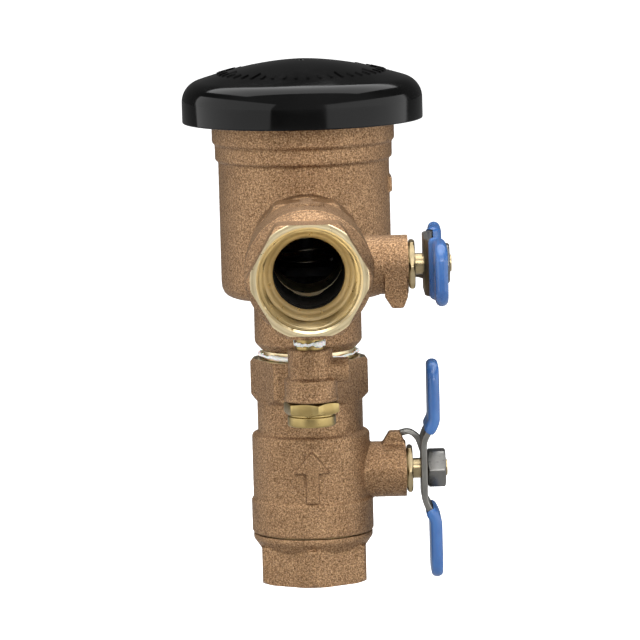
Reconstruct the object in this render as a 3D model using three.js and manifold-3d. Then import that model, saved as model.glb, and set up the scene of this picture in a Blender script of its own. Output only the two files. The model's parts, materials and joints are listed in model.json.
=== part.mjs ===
// Pressure vacuum breaker: a backflow preventer for irrigation lines, with a shutoff valve and a test cock at
// its inlet and at its outlet. Millimetres, +Z up. The origin is the centre of the inlet port's end face.
// The inlet runs up +Z, the outlet faces -Y and both operating stems point along +X.
import * as THREE from "three";
import { mergeVertices } from "three/addons/utils/BufferGeometryUtils.js";
import Module from "manifold-3d";

const wasm = await Module();
wasm.setup();

// ---- Driving dimensions -------------------------------------------------------------------------

const GAP = 0.3; // clearance left between neighbouring pieces
const COARSE = 10; // facets round small turned parts
const MEDIUM = 14; // facets round stems, bosses and rings
const FINE = 24; // facets round castings and the cover

const OUTLET_Z = 123.9; // height of the outlet's axis
const OUTLET_FACE = 120.4; // distance from the main axis to the outlet's end face

// Shutoff valve, in its own frame: +Z runs from the tailpiece's face to the body's hexagon, +X along the stem.
const VALVE = {
  hexFlats: 37.6, hexCorner: 21.3, hexFace: 20.1, cornerCut: 1.0, threadR: 16.2, mouthR: 16.9, portR: 12.3,
  tailHex: 12.6, tailRing: 16.0, seam: 17.8, ridge: 30.0, shoulder: 52.4, neck: 54.7, neckEnd: 65.9,
  bodyHex: 68.1, length: 81.4, socketDepth: 17.5, coneDepth: 20.5, tapZ: 60.3,
  ringR: 21.6, barrelR: 22.0, chamberR: 21.3, neckR: 19.05,
  joinR: 19.6, joinEnd: 27.3, cavityR: 18.3, seatPocketR: 16.2, seatFront: 7.9, seatBack: 13.9,
  ballZ: 39.5, ballR: 17.6, ballSlotX: 14.2, ballSlot: 5.4,
};
const STEM = {
  bossR: 10.1, bossEnd: 34.2, tangX: 14.5, tangThick: 4.8, tangLong: 11, collarX: 18.3, collarEnd: 20.7,
  collarR: 6.0, shaftR: 4.5, shaftEnd: 24.0, spindleR: 3.66, packR: 7.2, packEnd: 29.0, glandR: 6.9,
  glandFlats: 16.1, glandEnd: 36.6, end: 49.2, flat: 2.7, flatFrom: 39.2, flatTo: 42.0, screwR: 3.5,
};
const LUG = {
  from: 25.9, topFrom: 28.3, topTo: 32.2, to: 33.8, reach: 14.0, faceY: 1.6, backY: -3.6, lowFace: 6.4,
};
const HANDLE = {
  plateX: 40.6, armX: 44.5, bendFrom: 9.5, bendTo: 19.5, thick: 2.2, width: 19.6, reach: 37.9, cornerR: 7,
  gripFrom: 14, gripReach: 39.2, gripThick: 4.3, gripWidth: 21.6, gripCornerR: 8, nutFlats: 13, nutHigh: 6.5,
  tabWidth: 4, tabY: 2.0, tabR: 13.7, tabEnd: 31.2, tabThick: 2.0,
};

// Test cock, measured outwards from the axis of the valve that it is screwed into; its stem points along +X.
const COCK = {
  padR: 8.2, padEnd: 27.3, tapR: 5.1, threadFrom: 17.5, threadR: 4.8, rootR: 5.15, bodyFrom: 31.2, step: 41.2,
  bodyEnd: 49.5, upperR: 7.8, lowerR: 9.2, hexFlats: 17.46, hexEnd: 54.0, end: 58.2, endR: 8.4, boreR: 2.5,
  ball: 39.0, ballR: 5.2, portR: 2.4, cavityR: 5.6, cavityFrom: 36.0, pocketR: 4.9, seatBack: 6.2,
  screwFrom: 43.3, screwR: 7.0, hosePortR: 5.6, hosePortFrom: 47.5, bossR: 4.4, bossEnd: 13.5,
  stemR: 2.2, stemEnd: 13.0, collarR: 3.0, collarFrom: 5.9, collarTo: 7.3, tangX: 4.2, tangThick: 1.3,
};

// Main casting, a body of revolution round +Z with the outlet's branch along -Y.
const BODY = {
  nippleFrom: 66.0, nippleR: 15.9, rootR: 16.6, boreR: 12.5, flareFrom: 84.3, flareTo: 87.3, neckR: 19.35,
  barrelFloor: 104.0, cornerR: 6.6, barrelR: 30.7, ringFrom: 153.1, ringR: 31.8, rimFrom: 159.3, rimR: 32.75,
  top: 169.0, seatTop: 109.2, seatR: 15.2, floor: 107.2, chamberR: 27.5, threadFrom: 153.7, threadR: 28.5,
  branchR: 19.4, branchFlare: 36.4, branchEnd: 38.4, nippleEnd: 54.4, floorR: 25.0,
};
const COVER = {
  rimZ: 167.2, rimR: 43.2, shoulderZ: 174.6, shoulderR: 8.0, wall: 2.2, apexZ: 189.2, screwHead: 3.6, bossR: 5.0,
  facets: 32,
};
const BONNET = {
  from: 154.0, flangeZ: 169.3, top: 171.6, threadR: 28.2, flangeR: 31.1, seatR: 20.0, seatZ: 155.4, hubR: 6.5,
  hubFrom: 155.4, hubTop: 178.4, ribZ: 165.0, ribWidth: 4.0, guideR: 3.4, guideTop: 164.0, screwR: 1.9,
  screwFrom: 168.0, grooveFrom: 165.4, grooveTo: 167.8, grooveR: 26.5,
};
const CAGE = {
  ringR: 27.1, innerR: 23.2, top: 153.7, ringFrom: 150.6, plate: 138.0, plateTop: 140.6, legWidth: 6.0,
  hubR: 5.0, tubeFrom: 125.8, tubeTop: 138.4, tubeR: 2.8,
};
const POPPET = {
  from: 140.9, top: 147.0, discR: 22.2, skirtR: 18.5, skirtWall: 2.0, stemR: 3.0, stemTop: 157.6,
  sealFrom: 147.3, sealTop: 149.1, sealIn: 17.0, springR: 8.6, springTo: 164.6,
};
const CHECK = {
  sealFrom: 109.5, sealTop: 112.2, sealR: 16.4, discFrom: 112.5, discTop: 115.6, discR: 17.4,
  stemR: 2.5, stemTop: 129.6, washerFrom: 107.6, washerR: 8.0, pinR: 2.6, screwHeadR: 3.6,
  springR: 9.0, springFrom: 115.9, springTo: 137.7,
};
const SPRING_WIRE = 0.6; // radius of the wire of both springs

// ---- Materials ----------------------------------------------------------------------------------

const material = (color, roughness, metalness) => (
  new THREE.MeshStandardMaterial({ color, roughness, metalness })
);
const MATERIALS = {
  castBronze: material(0x9c7450, 0.55, 0.9),
  brass: material(0xb79a56, 0.35, 1.0),
  chromedBall: material(0xc9ccce, 0.15, 1.0),
  steel: material(0x8d8c88, 0.38, 1.0),
  blueVinyl: material(0x2f62b4, 0.35, 0.0),
  blackPlastic: material(0x0b0b0c, 0.2, 0.0),
  greyPlastic: material(0x3a3c3f, 0.5, 0.0),
  rubber: material(0x17181a, 0.8, 0.0),
  ptfe: material(0xe9e9e6, 0.6, 0.0),
};

// ---- Geometry helpers ---------------------------------------------------------------------------

function solidOf(geometry) {
  const bare = new THREE.BufferGeometry();
  bare.setAttribute("position", geometry.getAttribute("position").clone());
  if (geometry.index) bare.setIndex(geometry.index.clone());
  const merged = mergeVertices(bare, 1e-4);
  return new wasm.Manifold(new wasm.Mesh({
    numProp: 3,
    vertProperties: merged.attributes.position.array,
    triVerts: new Uint32Array(merged.index.array),
  }));
}

function geometryOf(solid) {
  const mesh = solid.getMesh();
  const geometry = new THREE.BufferGeometry();
  geometry.setAttribute("position", new THREE.BufferAttribute(mesh.vertProperties, 3));
  geometry.setIndex(new THREE.BufferAttribute(mesh.triVerts, 1));
  geometry.computeVertexNormals();
  return geometry;
}

const join = (...parts) => geometryOf(parts.map(solidOf).reduce((all, next) => all.add(next)));
const cut = (base, ...tools) => (
  geometryOf(tools.map(solidOf).reduce((left, tool) => left.subtract(tool), solidOf(base)))
);
const meet = (a, b) => geometryOf(solidOf(a).intersect(solidOf(b)));

// A solid of revolution about Z from a closed outline of [radius, height] points, in either order.
function lathe(outline, facets = FINE) {
  const closed = outline.map(([r, z]) => new THREE.Vector2(r, z));
  if (THREE.ShapeUtils.area(closed) < 0) closed.reverse();
  const before = (i) => closed[(i + closed.length - 1) % closed.length];
  const onAxis = closed.findIndex((p, i) => p.x === 0 && before(i).x === 0);
  const ordered = onAxis > 0 ? [...closed.slice(onAxis), ...closed.slice(0, onAxis)] : closed;
  if (onAxis < 0) ordered.push(ordered[0].clone());
  return new THREE.LatheGeometry(ordered, facets).rotateX(Math.PI / 2);
}

// A solid cylinder along Z.
const rod = (r, from, to, facets = MEDIUM) => lathe([[0, from], [r, from], [r, to], [0, to]], facets);
const ring = (inner, outer, from, to, facets = MEDIUM) =>
  lathe([[inner, from], [outer, from], [outer, to], [inner, to]], facets);

// Turns a shape made along Z so that it lies along X, Y or -Y.
const alongX = (geometry) => geometry.rotateZ(-Math.PI / 2).rotateY(Math.PI / 2);
const alongY = (geometry) => geometry.rotateX(-Math.PI / 2);
const alongMinusY = (geometry) => geometry.rotateX(Math.PI / 2);

function box(x0, x1, y0, y1, z0, z1) {
  return new THREE.BoxGeometry(x1 - x0, y1 - y0, z1 - z0)
    .translate((x0 + x1) / 2, (y0 + y1) / 2, (z0 + z1) / 2);
}

function prism(points, from, to) {
  const shape = new THREE.Shape(points.map(([x, y]) => new THREE.Vector2(x, y)));
  return new THREE.ExtrudeGeometry(shape, { depth: to - from, bevelEnabled: false }).translate(0, 0, from);
}

// A hexagonal prism along Z; turn 0 puts corners on +X and -X.
function hexPrism(flats, from, to, turn = 0) {
  const corner = flats / Math.sqrt(3);
  const points = [...Array(6).keys()].map((i) => {
    const angle = turn + (i * Math.PI) / 3;
    return [corner * Math.cos(angle), corner * Math.sin(angle)];
  });
  return prism(points, from, to);
}

// A hexagonal nut along Z whose corners are turned off at the ends named.
function nut(flats, from, to, cutLow, cutHigh, turn = 0) {
  const corner = flats / Math.sqrt(3) + 0.2;
  const inner = flats / 2;
  const drop = (corner - inner) * 0.55;
  const envelope = lathe([
    [0, from], [cutLow ? inner : corner, from], [corner, from + (cutLow ? drop : 0)],
    [corner, to - (cutHigh ? drop : 0)], [cutHigh ? inner : corner, to], [0, to],
  ], MEDIUM);
  return meet(hexPrism(flats, from, to, turn), envelope);
}

// A strip bent along a line of [x, z] points, of the given thickness, spanning y0 to y1.
function strip(line, thick, y0, y1) {
  const points = line.map(([x, z]) => new THREE.Vector2(x, z));
  const normals = points.map((p, i) => {
    const before = points[Math.max(i - 1, 0)];
    const after = points[Math.min(i + 1, points.length - 1)];
    const along = after.clone().sub(before).normalize();
    return new THREE.Vector2(along.y, -along.x);
  });
  const side = (sign) => points.map((p, i) => p.clone().addScaledVector(normals[i], (sign * thick) / 2));
  const shape = new THREE.Shape([...side(1), ...side(-1).reverse()]);
  return new THREE.ExtrudeGeometry(shape, { depth: y1 - y0, bevelEnabled: false })
    .rotateX(Math.PI / 2)
    .translate(0, y1, 0);
}

// A coil spring along Z with closed ends.
function coil(radius, from, to, turns) {
  class Helix extends THREE.Curve {
    getPoint(t, target = new THREE.Vector3()) {
      const angle = 2 * Math.PI * turns * t;
      const height = from + SPRING_WIRE + (to - from - 2 * SPRING_WIRE) * t;
      return target.set(radius * Math.cos(angle), radius * Math.sin(angle), height);
    }
  }
  const section = new THREE.Shape();
  section.absarc(0, 0, SPRING_WIRE, 0, 2 * Math.PI);
  return new THREE.ExtrudeGeometry(section, {
    steps: turns * 9, curveSegments: 3, bevelEnabled: false, extrudePath: new Helix(),
  });
}

const arc = (cx, cy, r, from, to, steps) => [...Array(steps + 1).keys()].map((i) => {
  const angle = THREE.MathUtils.degToRad(from + ((to - from) * i) / steps);
  return [cx + r * Math.cos(angle), cy + r * Math.sin(angle)];
});

const part = new THREE.Group();
function addMesh(group, name, geometry, look) {
  const mesh = new THREE.Mesh(geometry, MATERIALS[look]);
  mesh.name = name;
  group.add(mesh);
}

// ---- Shutoff valve ------------------------------------------------------------------------------

// The quarter-turn stops on the stem boss: one lug beside the flow axis, one across it.
function stopLugs() {
  const { from, topFrom, topTo, to, reach } = LUG;
  const outline = [[from, 0], [to, 0], [to, STEM.bossR], [topTo, reach], [topFrom, reach], [from, STEM.bossR]];
  const upright = prism(outline, -LUG.faceY, -LUG.backY).rotateX(Math.PI / 2);
  const crosswise = prism(outline, -STEM.bossR, -LUG.lowFace);
  return [upright, crosswise].map((lug) => lug.translate(0, 0, VALVE.ballZ));
}

function valveBody(turn) {
  const v = VALVE;
  const shell = lathe([
    [0, v.seam + GAP], [v.barrelR - 0.8, v.seam + GAP], [v.barrelR, v.seam + 1.1], [v.barrelR, v.ridge - 0.6],
    [v.chamberR, v.ridge + 0.4], ...arc(v.chamberR - 2.2, v.shoulder, 2.2, 0, 80, 3),
    [v.neckR, v.neck], [v.neckR, v.neckEnd + 1], [0, v.neckEnd + 1],
  ]);
  const hexEnvelope = lathe([
    [0, v.neckEnd], [v.neckR, v.neckEnd], [v.hexCorner, v.bodyHex], [v.hexCorner, v.length - v.cornerCut],
    [v.hexFace, v.length], [0, v.length],
  ]);
  const hexagon = meet(hexPrism(v.hexFlats, v.neckEnd, v.length, turn), hexEnvelope);
  const boss = alongX(rod(STEM.bossR, 0, STEM.bossEnd)).translate(0, 0, v.ballZ);
  const tapPad = alongY(rod(COCK.padR, 0, COCK.padEnd, MEDIUM)).translate(0, 0, v.tapZ);
  const waterway = lathe([
    [0, v.seam - 1], [v.joinR, v.seam - 1], [v.joinR, v.joinEnd], [v.cavityR, v.joinEnd],
    [v.cavityR, v.ballZ + v.seatFront], [v.seatPocketR, v.ballZ + v.seatFront],
    [v.seatPocketR, v.ballZ + v.seatBack], [v.portR, v.ballZ + v.seatBack], [v.portR, v.length - v.coneDepth],
    [v.threadR, v.length - v.socketDepth], [v.threadR, v.length - 1], [v.mouthR, v.length],
    [v.mouthR, v.length + 1], [0, v.length + 1],
  ]);
  const stemBore = alongX(lathe([
    [0, 0], [STEM.collarR + GAP, 0], [STEM.collarR + GAP, STEM.collarEnd + GAP],
    [STEM.shaftR + GAP, STEM.collarEnd + GAP], [STEM.shaftR + GAP, STEM.shaftEnd + GAP],
    [STEM.packR, STEM.shaftEnd + GAP], [STEM.packR, STEM.bossEnd + 1], [0, STEM.bossEnd + 1],
  ], MEDIUM)).translate(0, 0, v.ballZ);
  const tap = alongY(rod(COCK.tapR, 0, COCK.padEnd + 1, COARSE)).translate(0, 0, v.tapZ);
  return cut(join(shell, hexagon, boss, tapPad, ...stopLugs()), waterway, stemBore, tap);
}

function valveTailpiece(turn) {
  const v = VALVE;
  const hexEnvelope = lathe([
    [0, 0], [v.hexFace, 0], [v.hexCorner, v.cornerCut], [v.hexCorner, v.tailHex + 1], [0, v.tailHex + 1],
  ]);
  const hexagon = meet(hexPrism(v.hexFlats, 0, v.tailHex + 1, turn), hexEnvelope);
  const sleeve = lathe([
    [0, v.tailHex], [v.neckR, v.tailHex], [v.ringR, v.tailRing], [v.ringR, v.seam], [v.joinR - GAP, v.seam],
    [v.joinR - GAP, v.joinEnd - GAP], [v.cavityR - GAP, v.joinEnd - GAP],
    [v.cavityR - GAP, v.ballZ - v.seatFront - GAP], [0, v.ballZ - v.seatFront - GAP],
  ]);
  const waterway = lathe([
    [0, -1], [v.mouthR, -1], [v.mouthR, 0], [v.threadR, 1.2], [v.threadR, v.socketDepth],
    [v.portR, v.coneDepth], [v.portR, v.ballZ - v.seatBack], [v.seatPocketR, v.ballZ - v.seatBack],
    [v.seatPocketR, v.ballZ], [0, v.ballZ],
  ]);
  return cut(join(hexagon, sleeve), waterway);
}

function valveBall() {
  const v = VALVE;
  const half = v.ballSlot / 2;
  return cut(
    new THREE.SphereGeometry(v.ballR, 16, 12).rotateX(Math.PI / 2),
    rod(v.portR, -v.ballR - 1, v.ballR + 1, MEDIUM),
    box(v.ballSlotX, v.ballR + 1, -half, half, -v.ballR, v.ballR),
  ).translate(0, 0, v.ballZ);
}

// A seat ring with a face that follows the ball; side is 1 above the ball and -1 below it.
function seatRing(side, ballR, inner, outer, front, back, facets) {
  const face = (r) => [r, Math.max(front, Math.sqrt((ballR + 1.5 * GAP) ** 2 - r * r))];
  const steps = 3;
  const follow = [...Array(steps + 1).keys()].map((i) => face(inner + ((outer - inner) * i) / steps));
  const upper = lathe([...follow, [outer, back], [inner, back]], facets);
  return side > 0 ? upper : upper.rotateX(Math.PI);
}

const valveSeat = (side) => seatRing(side, VALVE.ballR, VALVE.portR + GAP, VALVE.seatPocketR - GAP,
  VALVE.seatFront + GAP, VALVE.seatBack - GAP, MEDIUM).translate(0, 0, VALVE.ballZ);

function valveStem() {
  const s = STEM;
  const [halfThick, halfLong] = [s.tangThick / 2, s.tangLong / 2];
  const tang = box(s.tangX, s.collarX + 0.5, -halfThick, halfThick, -halfLong, halfLong);
  const turned = alongX(lathe([
    [0, s.collarX], [s.collarR, s.collarX], [s.collarR, s.collarEnd], [s.shaftR, s.collarEnd],
    [s.shaftR, s.shaftEnd], [s.spindleR, s.shaftEnd], [s.spindleR, s.flatTo], [s.screwR, s.flatTo],
    [s.screwR, s.end - 0.6], [s.screwR - 0.6, s.end], [0, s.end],
  ], MEDIUM));
  const flats = [0, Math.PI].map((turn) => (
    box(s.flatFrom, s.flatTo, s.flat, 2 * s.flat, -5, 5).rotateX(turn)
  ));
  return cut(join(meet(tang, alongX(rod(s.collarR, s.tangX, s.collarX + 1))), turned), ...flats)
    .translate(0, 0, VALVE.ballZ);
}

function stemPacking() {
  const s = STEM;
  const packing = ring(s.spindleR + GAP, s.packR - GAP, s.shaftEnd + 2 * GAP, s.packEnd, COARSE);
  return alongX(packing).translate(0, 0, VALVE.ballZ);
}

function glandNut(turn) {
  const s = STEM;
  const head = nut(s.glandFlats, s.bossEnd + GAP, s.glandEnd, false, true, turn);
  const thread = rod(s.glandR, s.packEnd + GAP, s.bossEnd + 1, MEDIUM);
  return alongX(cut(join(head, thread), rod(s.spindleR + GAP, s.packEnd, s.glandEnd + 1, COARSE)))
    .translate(0, 0, VALVE.ballZ);
}

// Half of the handle's side view: flat at the stem, then stepped out to the arm; sign 1 is towards +Z.
function armLine(sign, from, to) {
  const h = HANDLE;
  const steps = 6;
  const bend = [...Array(steps + 1).keys()].map((i) => {
    const t = i / steps;
    const ease = t * t * (3 - 2 * t);
    return [h.plateX + (h.armX - h.plateX) * ease, h.bendFrom + (h.bendTo - h.bendFrom) * t];
  });
  const line = [[h.plateX, 0], ...bend, [h.armX, to]];
  const xAt = (z) => {
    const i = Math.max(1, line.findIndex((p) => p[1] >= z));
    const [[x0, z0], [x1, z1]] = [line[i - 1], line[i]];
    return x0 + ((x1 - x0) * (z - z0)) / (z1 - z0);
  };
  const kept = line.filter((p) => p[1] > from && p[1] < to);
  return [[xAt(from), from], ...kept, [h.armX, to]].map(([x, z]) => [x, sign * z]);
}

// The outline of the handle seen along the stem: width across Y, rounded at both ends.
function plate(width, low, high, cornerR, roundLow) {
  const w = width / 2;
  const corner = (cy, cz, a) => arc(cy, cz, cornerR, a, a + 90, 4);
  const lower = roundLow
    ? [...corner(-w + cornerR, low + cornerR, 180), ...corner(w - cornerR, low + cornerR, 270)]
    : [[-w, low], [w, low]];
  const [right, left] = [corner(w - cornerR, high - cornerR, 0), corner(-w + cornerR, high - cornerR, 90)];
  const outline = [...lower, ...right, ...left];
  return prism(outline, 0, 60).rotateZ(Math.PI / 2).rotateY(Math.PI / 2);
}

function handleStrap() {
  const h = HANDLE;
  const line = [...armLine(-1, 0, h.reach).reverse().slice(0, -1), ...armLine(1, 0, h.reach)];
  const bent = strip(line, h.thick, -h.width / 2, h.width / 2);
  const blank = meet(bent, plate(h.width, -h.reach, h.reach, h.cornerR, true));
  const tabLine = [
    [h.plateX - 0.2, 6.5], [h.plateX - 0.9, 9.3], ...arc(h.tabEnd + 4.6, h.tabR - 4.2, 4.2, 25, 85, 4),
    [h.tabEnd, h.tabR],
  ];
  const tab = strip(tabLine, h.tabThick, h.tabY, h.tabY + h.tabWidth);
  const hole = meet(
    alongX(rod(STEM.spindleR + GAP, h.plateX - 3, h.plateX + 3, COARSE)),
    box(h.plateX - 4, h.plateX + 4, -STEM.flat - GAP, STEM.flat + GAP, -6, 6),
  );
  return cut(join(blank, tab), hole).translate(0, 0, VALVE.ballZ);
}

function handleGrip(sign) {
  const h = HANDLE;
  const outer = meet(
    strip(armLine(1, h.gripFrom, h.gripReach), h.gripThick, -h.gripWidth / 2, h.gripWidth / 2),
    plate(h.gripWidth, h.gripFrom, h.gripReach, h.gripCornerR, false),
  );
  const pocket = meet(
    strip(armLine(1, h.gripFrom - 2, h.reach + GAP), h.thick + 2 * GAP, -h.width / 2 - GAP, h.width / 2 + GAP),
    plate(h.width + 2 * GAP, 0, h.reach + GAP, h.cornerR, false),
  );
  const sleeve = cut(outer, pocket);
  return (sign > 0 ? sleeve : sleeve.rotateX(Math.PI)).translate(0, 0, VALVE.ballZ);
}

function handleNut(turn) {
  const from = HANDLE.plateX + HANDLE.thick / 2 + GAP;
  const blank = nut(HANDLE.nutFlats, from, from + HANDLE.nutHigh, false, true, turn);
  const bore = rod(STEM.spindleR + GAP, from - 1, from + HANDLE.nutHigh + 1, COARSE);
  return alongX(cut(blank, bore)).translate(0, 0, VALVE.ballZ);
}

// ---- Test cock ----------------------------------------------------------------------------------

// Each piece is made along Z, from the valve's axis outwards, with its stem along X.
function cockBody() {
  const c = COCK;
  const shell = lathe([
    [0, c.threadFrom], [c.threadR, c.threadFrom], [c.threadR, c.padEnd], [c.rootR, c.padEnd + GAP],
    [c.rootR, c.bodyFrom], [c.upperR - 0.8, c.bodyFrom], [c.upperR, c.bodyFrom + 0.8], [c.upperR, c.step - 0.5],
    [c.lowerR, c.step + 0.7], [c.lowerR, c.bodyEnd - 0.8], [c.lowerR - 0.8, c.bodyEnd], [0, c.bodyEnd],
  ], MEDIUM);
  const boss = alongX(rod(c.bossR, 0, c.bossEnd, COARSE)).translate(0, 0, c.ball);
  const waterway = lathe([
    [0, c.threadFrom - 1], [c.boreR, c.threadFrom - 1], [c.boreR, c.ball - c.seatBack],
    [c.pocketR, c.ball - c.seatBack], [c.pocketR, c.cavityFrom], [c.cavityR, c.cavityFrom],
    [c.cavityR, c.screwFrom], [c.screwR + GAP, c.screwFrom], [c.screwR + GAP, c.bodyEnd + 1], [0, c.bodyEnd + 1],
  ], COARSE);
  const stemBore = alongX(lathe([
    [0, 0], [c.collarR + GAP, 0], [c.collarR + GAP, c.collarTo + GAP], [c.stemR + GAP, c.collarTo + GAP],
    [c.stemR + GAP, c.bossEnd + 1], [0, c.bossEnd + 1],
  ], COARSE)).translate(0, 0, c.ball);
  return cut(join(shell, boss), waterway, stemBore);
}

function cockEnd() {
  const c = COCK;
  const screw = rod(c.screwR, c.screwFrom + GAP, c.bodyEnd + GAP + 0.5, COARSE);
  const hexagon = nut(c.hexFlats, c.bodyEnd + GAP, c.hexEnd, false, true, Math.PI / 11);
  const spout = lathe([
    [0, c.hexEnd - 1], [c.endR, c.hexEnd - 1], [c.endR, c.end - 0.6], [c.endR - 0.6, c.end], [0, c.end],
  ], MEDIUM);
  const waterway = lathe([
    [0, c.screwFrom], [c.pocketR, c.screwFrom], [c.pocketR, c.ball + c.seatBack], [c.boreR, c.ball + c.seatBack],
    [c.boreR, c.hosePortFrom], [c.hosePortR, c.hosePortFrom + 0.8], [c.hosePortR, c.end - 0.6],
    [c.hosePortR + 0.6, c.end], [c.hosePortR + 0.6, c.end + 1], [0, c.end + 1],
  ], COARSE);
  return cut(join(screw, hexagon, spout), waterway);
}

// The cock stands shut, so its port lies across the flow.
function cockBall() {
  const c = COCK;
  return cut(
    new THREE.SphereGeometry(c.ballR, 12, 8).rotateX(Math.PI / 2),
    alongY(rod(c.portR, -c.ballR - 1, c.ballR + 1, COARSE)),
    box(c.tangX - GAP, c.ballR + 1, -c.ballR, c.ballR, -c.tangThick / 2 - GAP, c.tangThick / 2 + GAP),
  ).translate(0, 0, c.ball);
}

const cockSeat = (side) => seatRing(side, COCK.ballR, COCK.boreR + 0.2, COCK.pocketR - GAP,
  COCK.ball - COCK.cavityFrom + GAP, COCK.seatBack - GAP, COARSE).translate(0, 0, COCK.ball);

function cockStem() {
  const c = COCK;
  const tang = meet(
    box(c.tangX, c.collarFrom + 0.3, -c.collarR, c.collarR, -c.tangThick / 2, c.tangThick / 2),
    alongX(rod(2.4, c.tangX, c.collarFrom + 1, COARSE)),
  );
  const turned = alongX(lathe([
    [0, c.collarFrom], [c.collarR, c.collarFrom], [c.collarR, c.collarTo], [c.stemR, c.collarTo],
    [c.stemR, c.stemEnd], [0, c.stemEnd],
  ], COARSE));
  const driverSlot = box(c.stemEnd - 1.4, c.stemEnd + 1, -3, 3, -0.5, 0.5);
  return cut(join(tang, turned), driverSlot).translate(0, 0, c.ball);
}

// A collar of sealing tape squeezed out beside a thread.
const tapeCollar = (threadR, bulge, from, to, facets) => lathe([
  [threadR + GAP, from], [threadR + bulge * 0.7, from], [threadR + bulge, (from + to) / 2],
  [threadR + bulge * 0.7, to], [threadR + GAP, to],
], facets);

function addTestCock(group, prefix) {
  const cock = new THREE.Group();
  cock.position.set(0, 0, VALVE.tapZ);
  cock.rotation.x = -Math.PI / 2;
  addMesh(cock, prefix + "_body", cockBody(), "castBronze");
  addMesh(cock, prefix + "_end_fitting", cockEnd(), "brass");
  addMesh(cock, prefix + "_ball", cockBall(), "chromedBall");
  addMesh(cock, prefix + "_inner_seat", cockSeat(-1), "ptfe");
  addMesh(cock, prefix + "_outer_seat", cockSeat(1), "ptfe");
  addMesh(cock, prefix + "_stem", cockStem(), "brass");
  const tape = tapeCollar(COCK.rootR, 1.8, COCK.padEnd + GAP, COCK.bodyFrom - GAP, COARSE);
  addMesh(cock, prefix + "_thread_tape", tape, "ptfe");
  group.add(cock);
}

function addValve(prefix, cockPrefix, turns, place) {
  const valve = new THREE.Group();
  place(valve);
  addMesh(valve, prefix + "_valve_body", valveBody(turns.body), "castBronze");
  addMesh(valve, prefix + "_valve_tailpiece", valveTailpiece(turns.tail), "castBronze");
  addMesh(valve, prefix + "_valve_ball", valveBall(), "chromedBall");
  addMesh(valve, prefix + "_valve_seat_body_side", valveSeat(1), "ptfe");
  addMesh(valve, prefix + "_valve_seat_tail_side", valveSeat(-1), "ptfe");
  addMesh(valve, prefix + "_valve_stem", valveStem(), "brass");
  addMesh(valve, prefix + "_valve_packing", stemPacking(), "ptfe");
  addMesh(valve, prefix + "_valve_gland_nut", glandNut(turns.gland), "brass");
  addMesh(valve, prefix + "_handle", handleStrap(), "steel");
  addMesh(valve, prefix + "_handle_grip_a", handleGrip(1), "blueVinyl");
  addMesh(valve, prefix + "_handle_grip_b", handleGrip(-1), "blueVinyl");
  addMesh(valve, prefix + "_handle_nut", handleNut(turns.nut), "steel");
  addTestCock(valve, cockPrefix);
  part.add(valve);
}

// ---- Main body, bonnet and cover ----------------------------------------------------------------

function mainBody() {
  const b = BODY;
  const shell = lathe([
    [0, b.nippleFrom], [b.nippleR - 0.6, b.nippleFrom], [b.nippleR, b.nippleFrom + 1],
    [b.nippleR, VALVE.length], [b.rootR, VALVE.length + GAP], [b.rootR, b.flareFrom], [b.neckR, b.flareTo],
    [b.neckR, b.barrelFloor - 0.6], [b.neckR + 0.6, b.barrelFloor],
    ...arc(b.barrelR - b.cornerR, b.barrelFloor + b.cornerR, b.cornerR, -90, 0, 5),
    [b.barrelR, b.ringFrom], [b.ringR, b.ringFrom + 0.6], [b.ringR, b.rimFrom], [b.rimR, b.rimFrom + 0.6],
    [b.rimR, b.top - 0.6], [b.rimR - 0.6, b.top], [0, b.top],
  ]);
  const branch = alongMinusY(lathe([
    [0, 0], [b.branchR, 0], [b.branchR, b.branchFlare - 1.4], [b.rootR, b.branchFlare],
    [b.rootR, b.branchEnd + GAP], [b.nippleR, b.branchEnd + 2 * GAP], [b.nippleR, b.nippleEnd - 1],
    [b.nippleR - 0.6, b.nippleEnd], [0, b.nippleEnd],
  ])).translate(0, 0, OUTLET_Z);
  const inside = lathe([
    [0, b.nippleFrom - 1], [b.boreR, b.nippleFrom - 1], [b.boreR, b.seatTop], [b.seatR, b.seatTop],
    [b.seatR + 0.8, b.floor], [b.floorR, b.floor], [b.chamberR, b.floor + 2.5], [b.chamberR, b.threadFrom],
    [b.threadR, b.threadFrom], [b.threadR, b.top + 1], [0, b.top + 1],
  ]);
  const outletBore = alongMinusY(rod(b.boreR, 0, b.nippleEnd + 1, FINE)).translate(0, 0, OUTLET_Z);
  return cut(join(shell, branch), inside, outletBore);
}

function bonnet() {
  const b = BONNET;
  const ringPart = lathe([
    [b.seatR, b.from], [b.threadR, b.from], [b.threadR, b.grooveFrom], [b.grooveR, b.grooveFrom],
    [b.grooveR, b.grooveTo], [b.threadR, b.grooveTo], [b.threadR, b.flangeZ], [b.flangeR, b.flangeZ],
    [b.flangeR, b.top], [b.seatR + 3, b.top], [b.seatR + 3, b.seatZ + 6], [b.seatR, b.seatZ + 4],
  ], FINE);
  const ribs = [0, 1].map((i) => box(-b.seatR - 4, b.seatR + 4, -b.ribWidth / 2, b.ribWidth / 2, b.ribZ, b.top)
    .rotateZ((i * Math.PI) / 2 + Math.PI / 4));
  const hub = rod(b.hubR, b.hubFrom, b.hubTop, COARSE);
  const guideHole = rod(b.guideR, b.hubFrom - 1, b.guideTop, COARSE);
  const screwHole = rod(b.screwR + GAP, b.screwFrom, b.hubTop + 1, COARSE);
  return cut(join(ringPart, ...ribs, hub), guideHole, screwHole);
}

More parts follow.
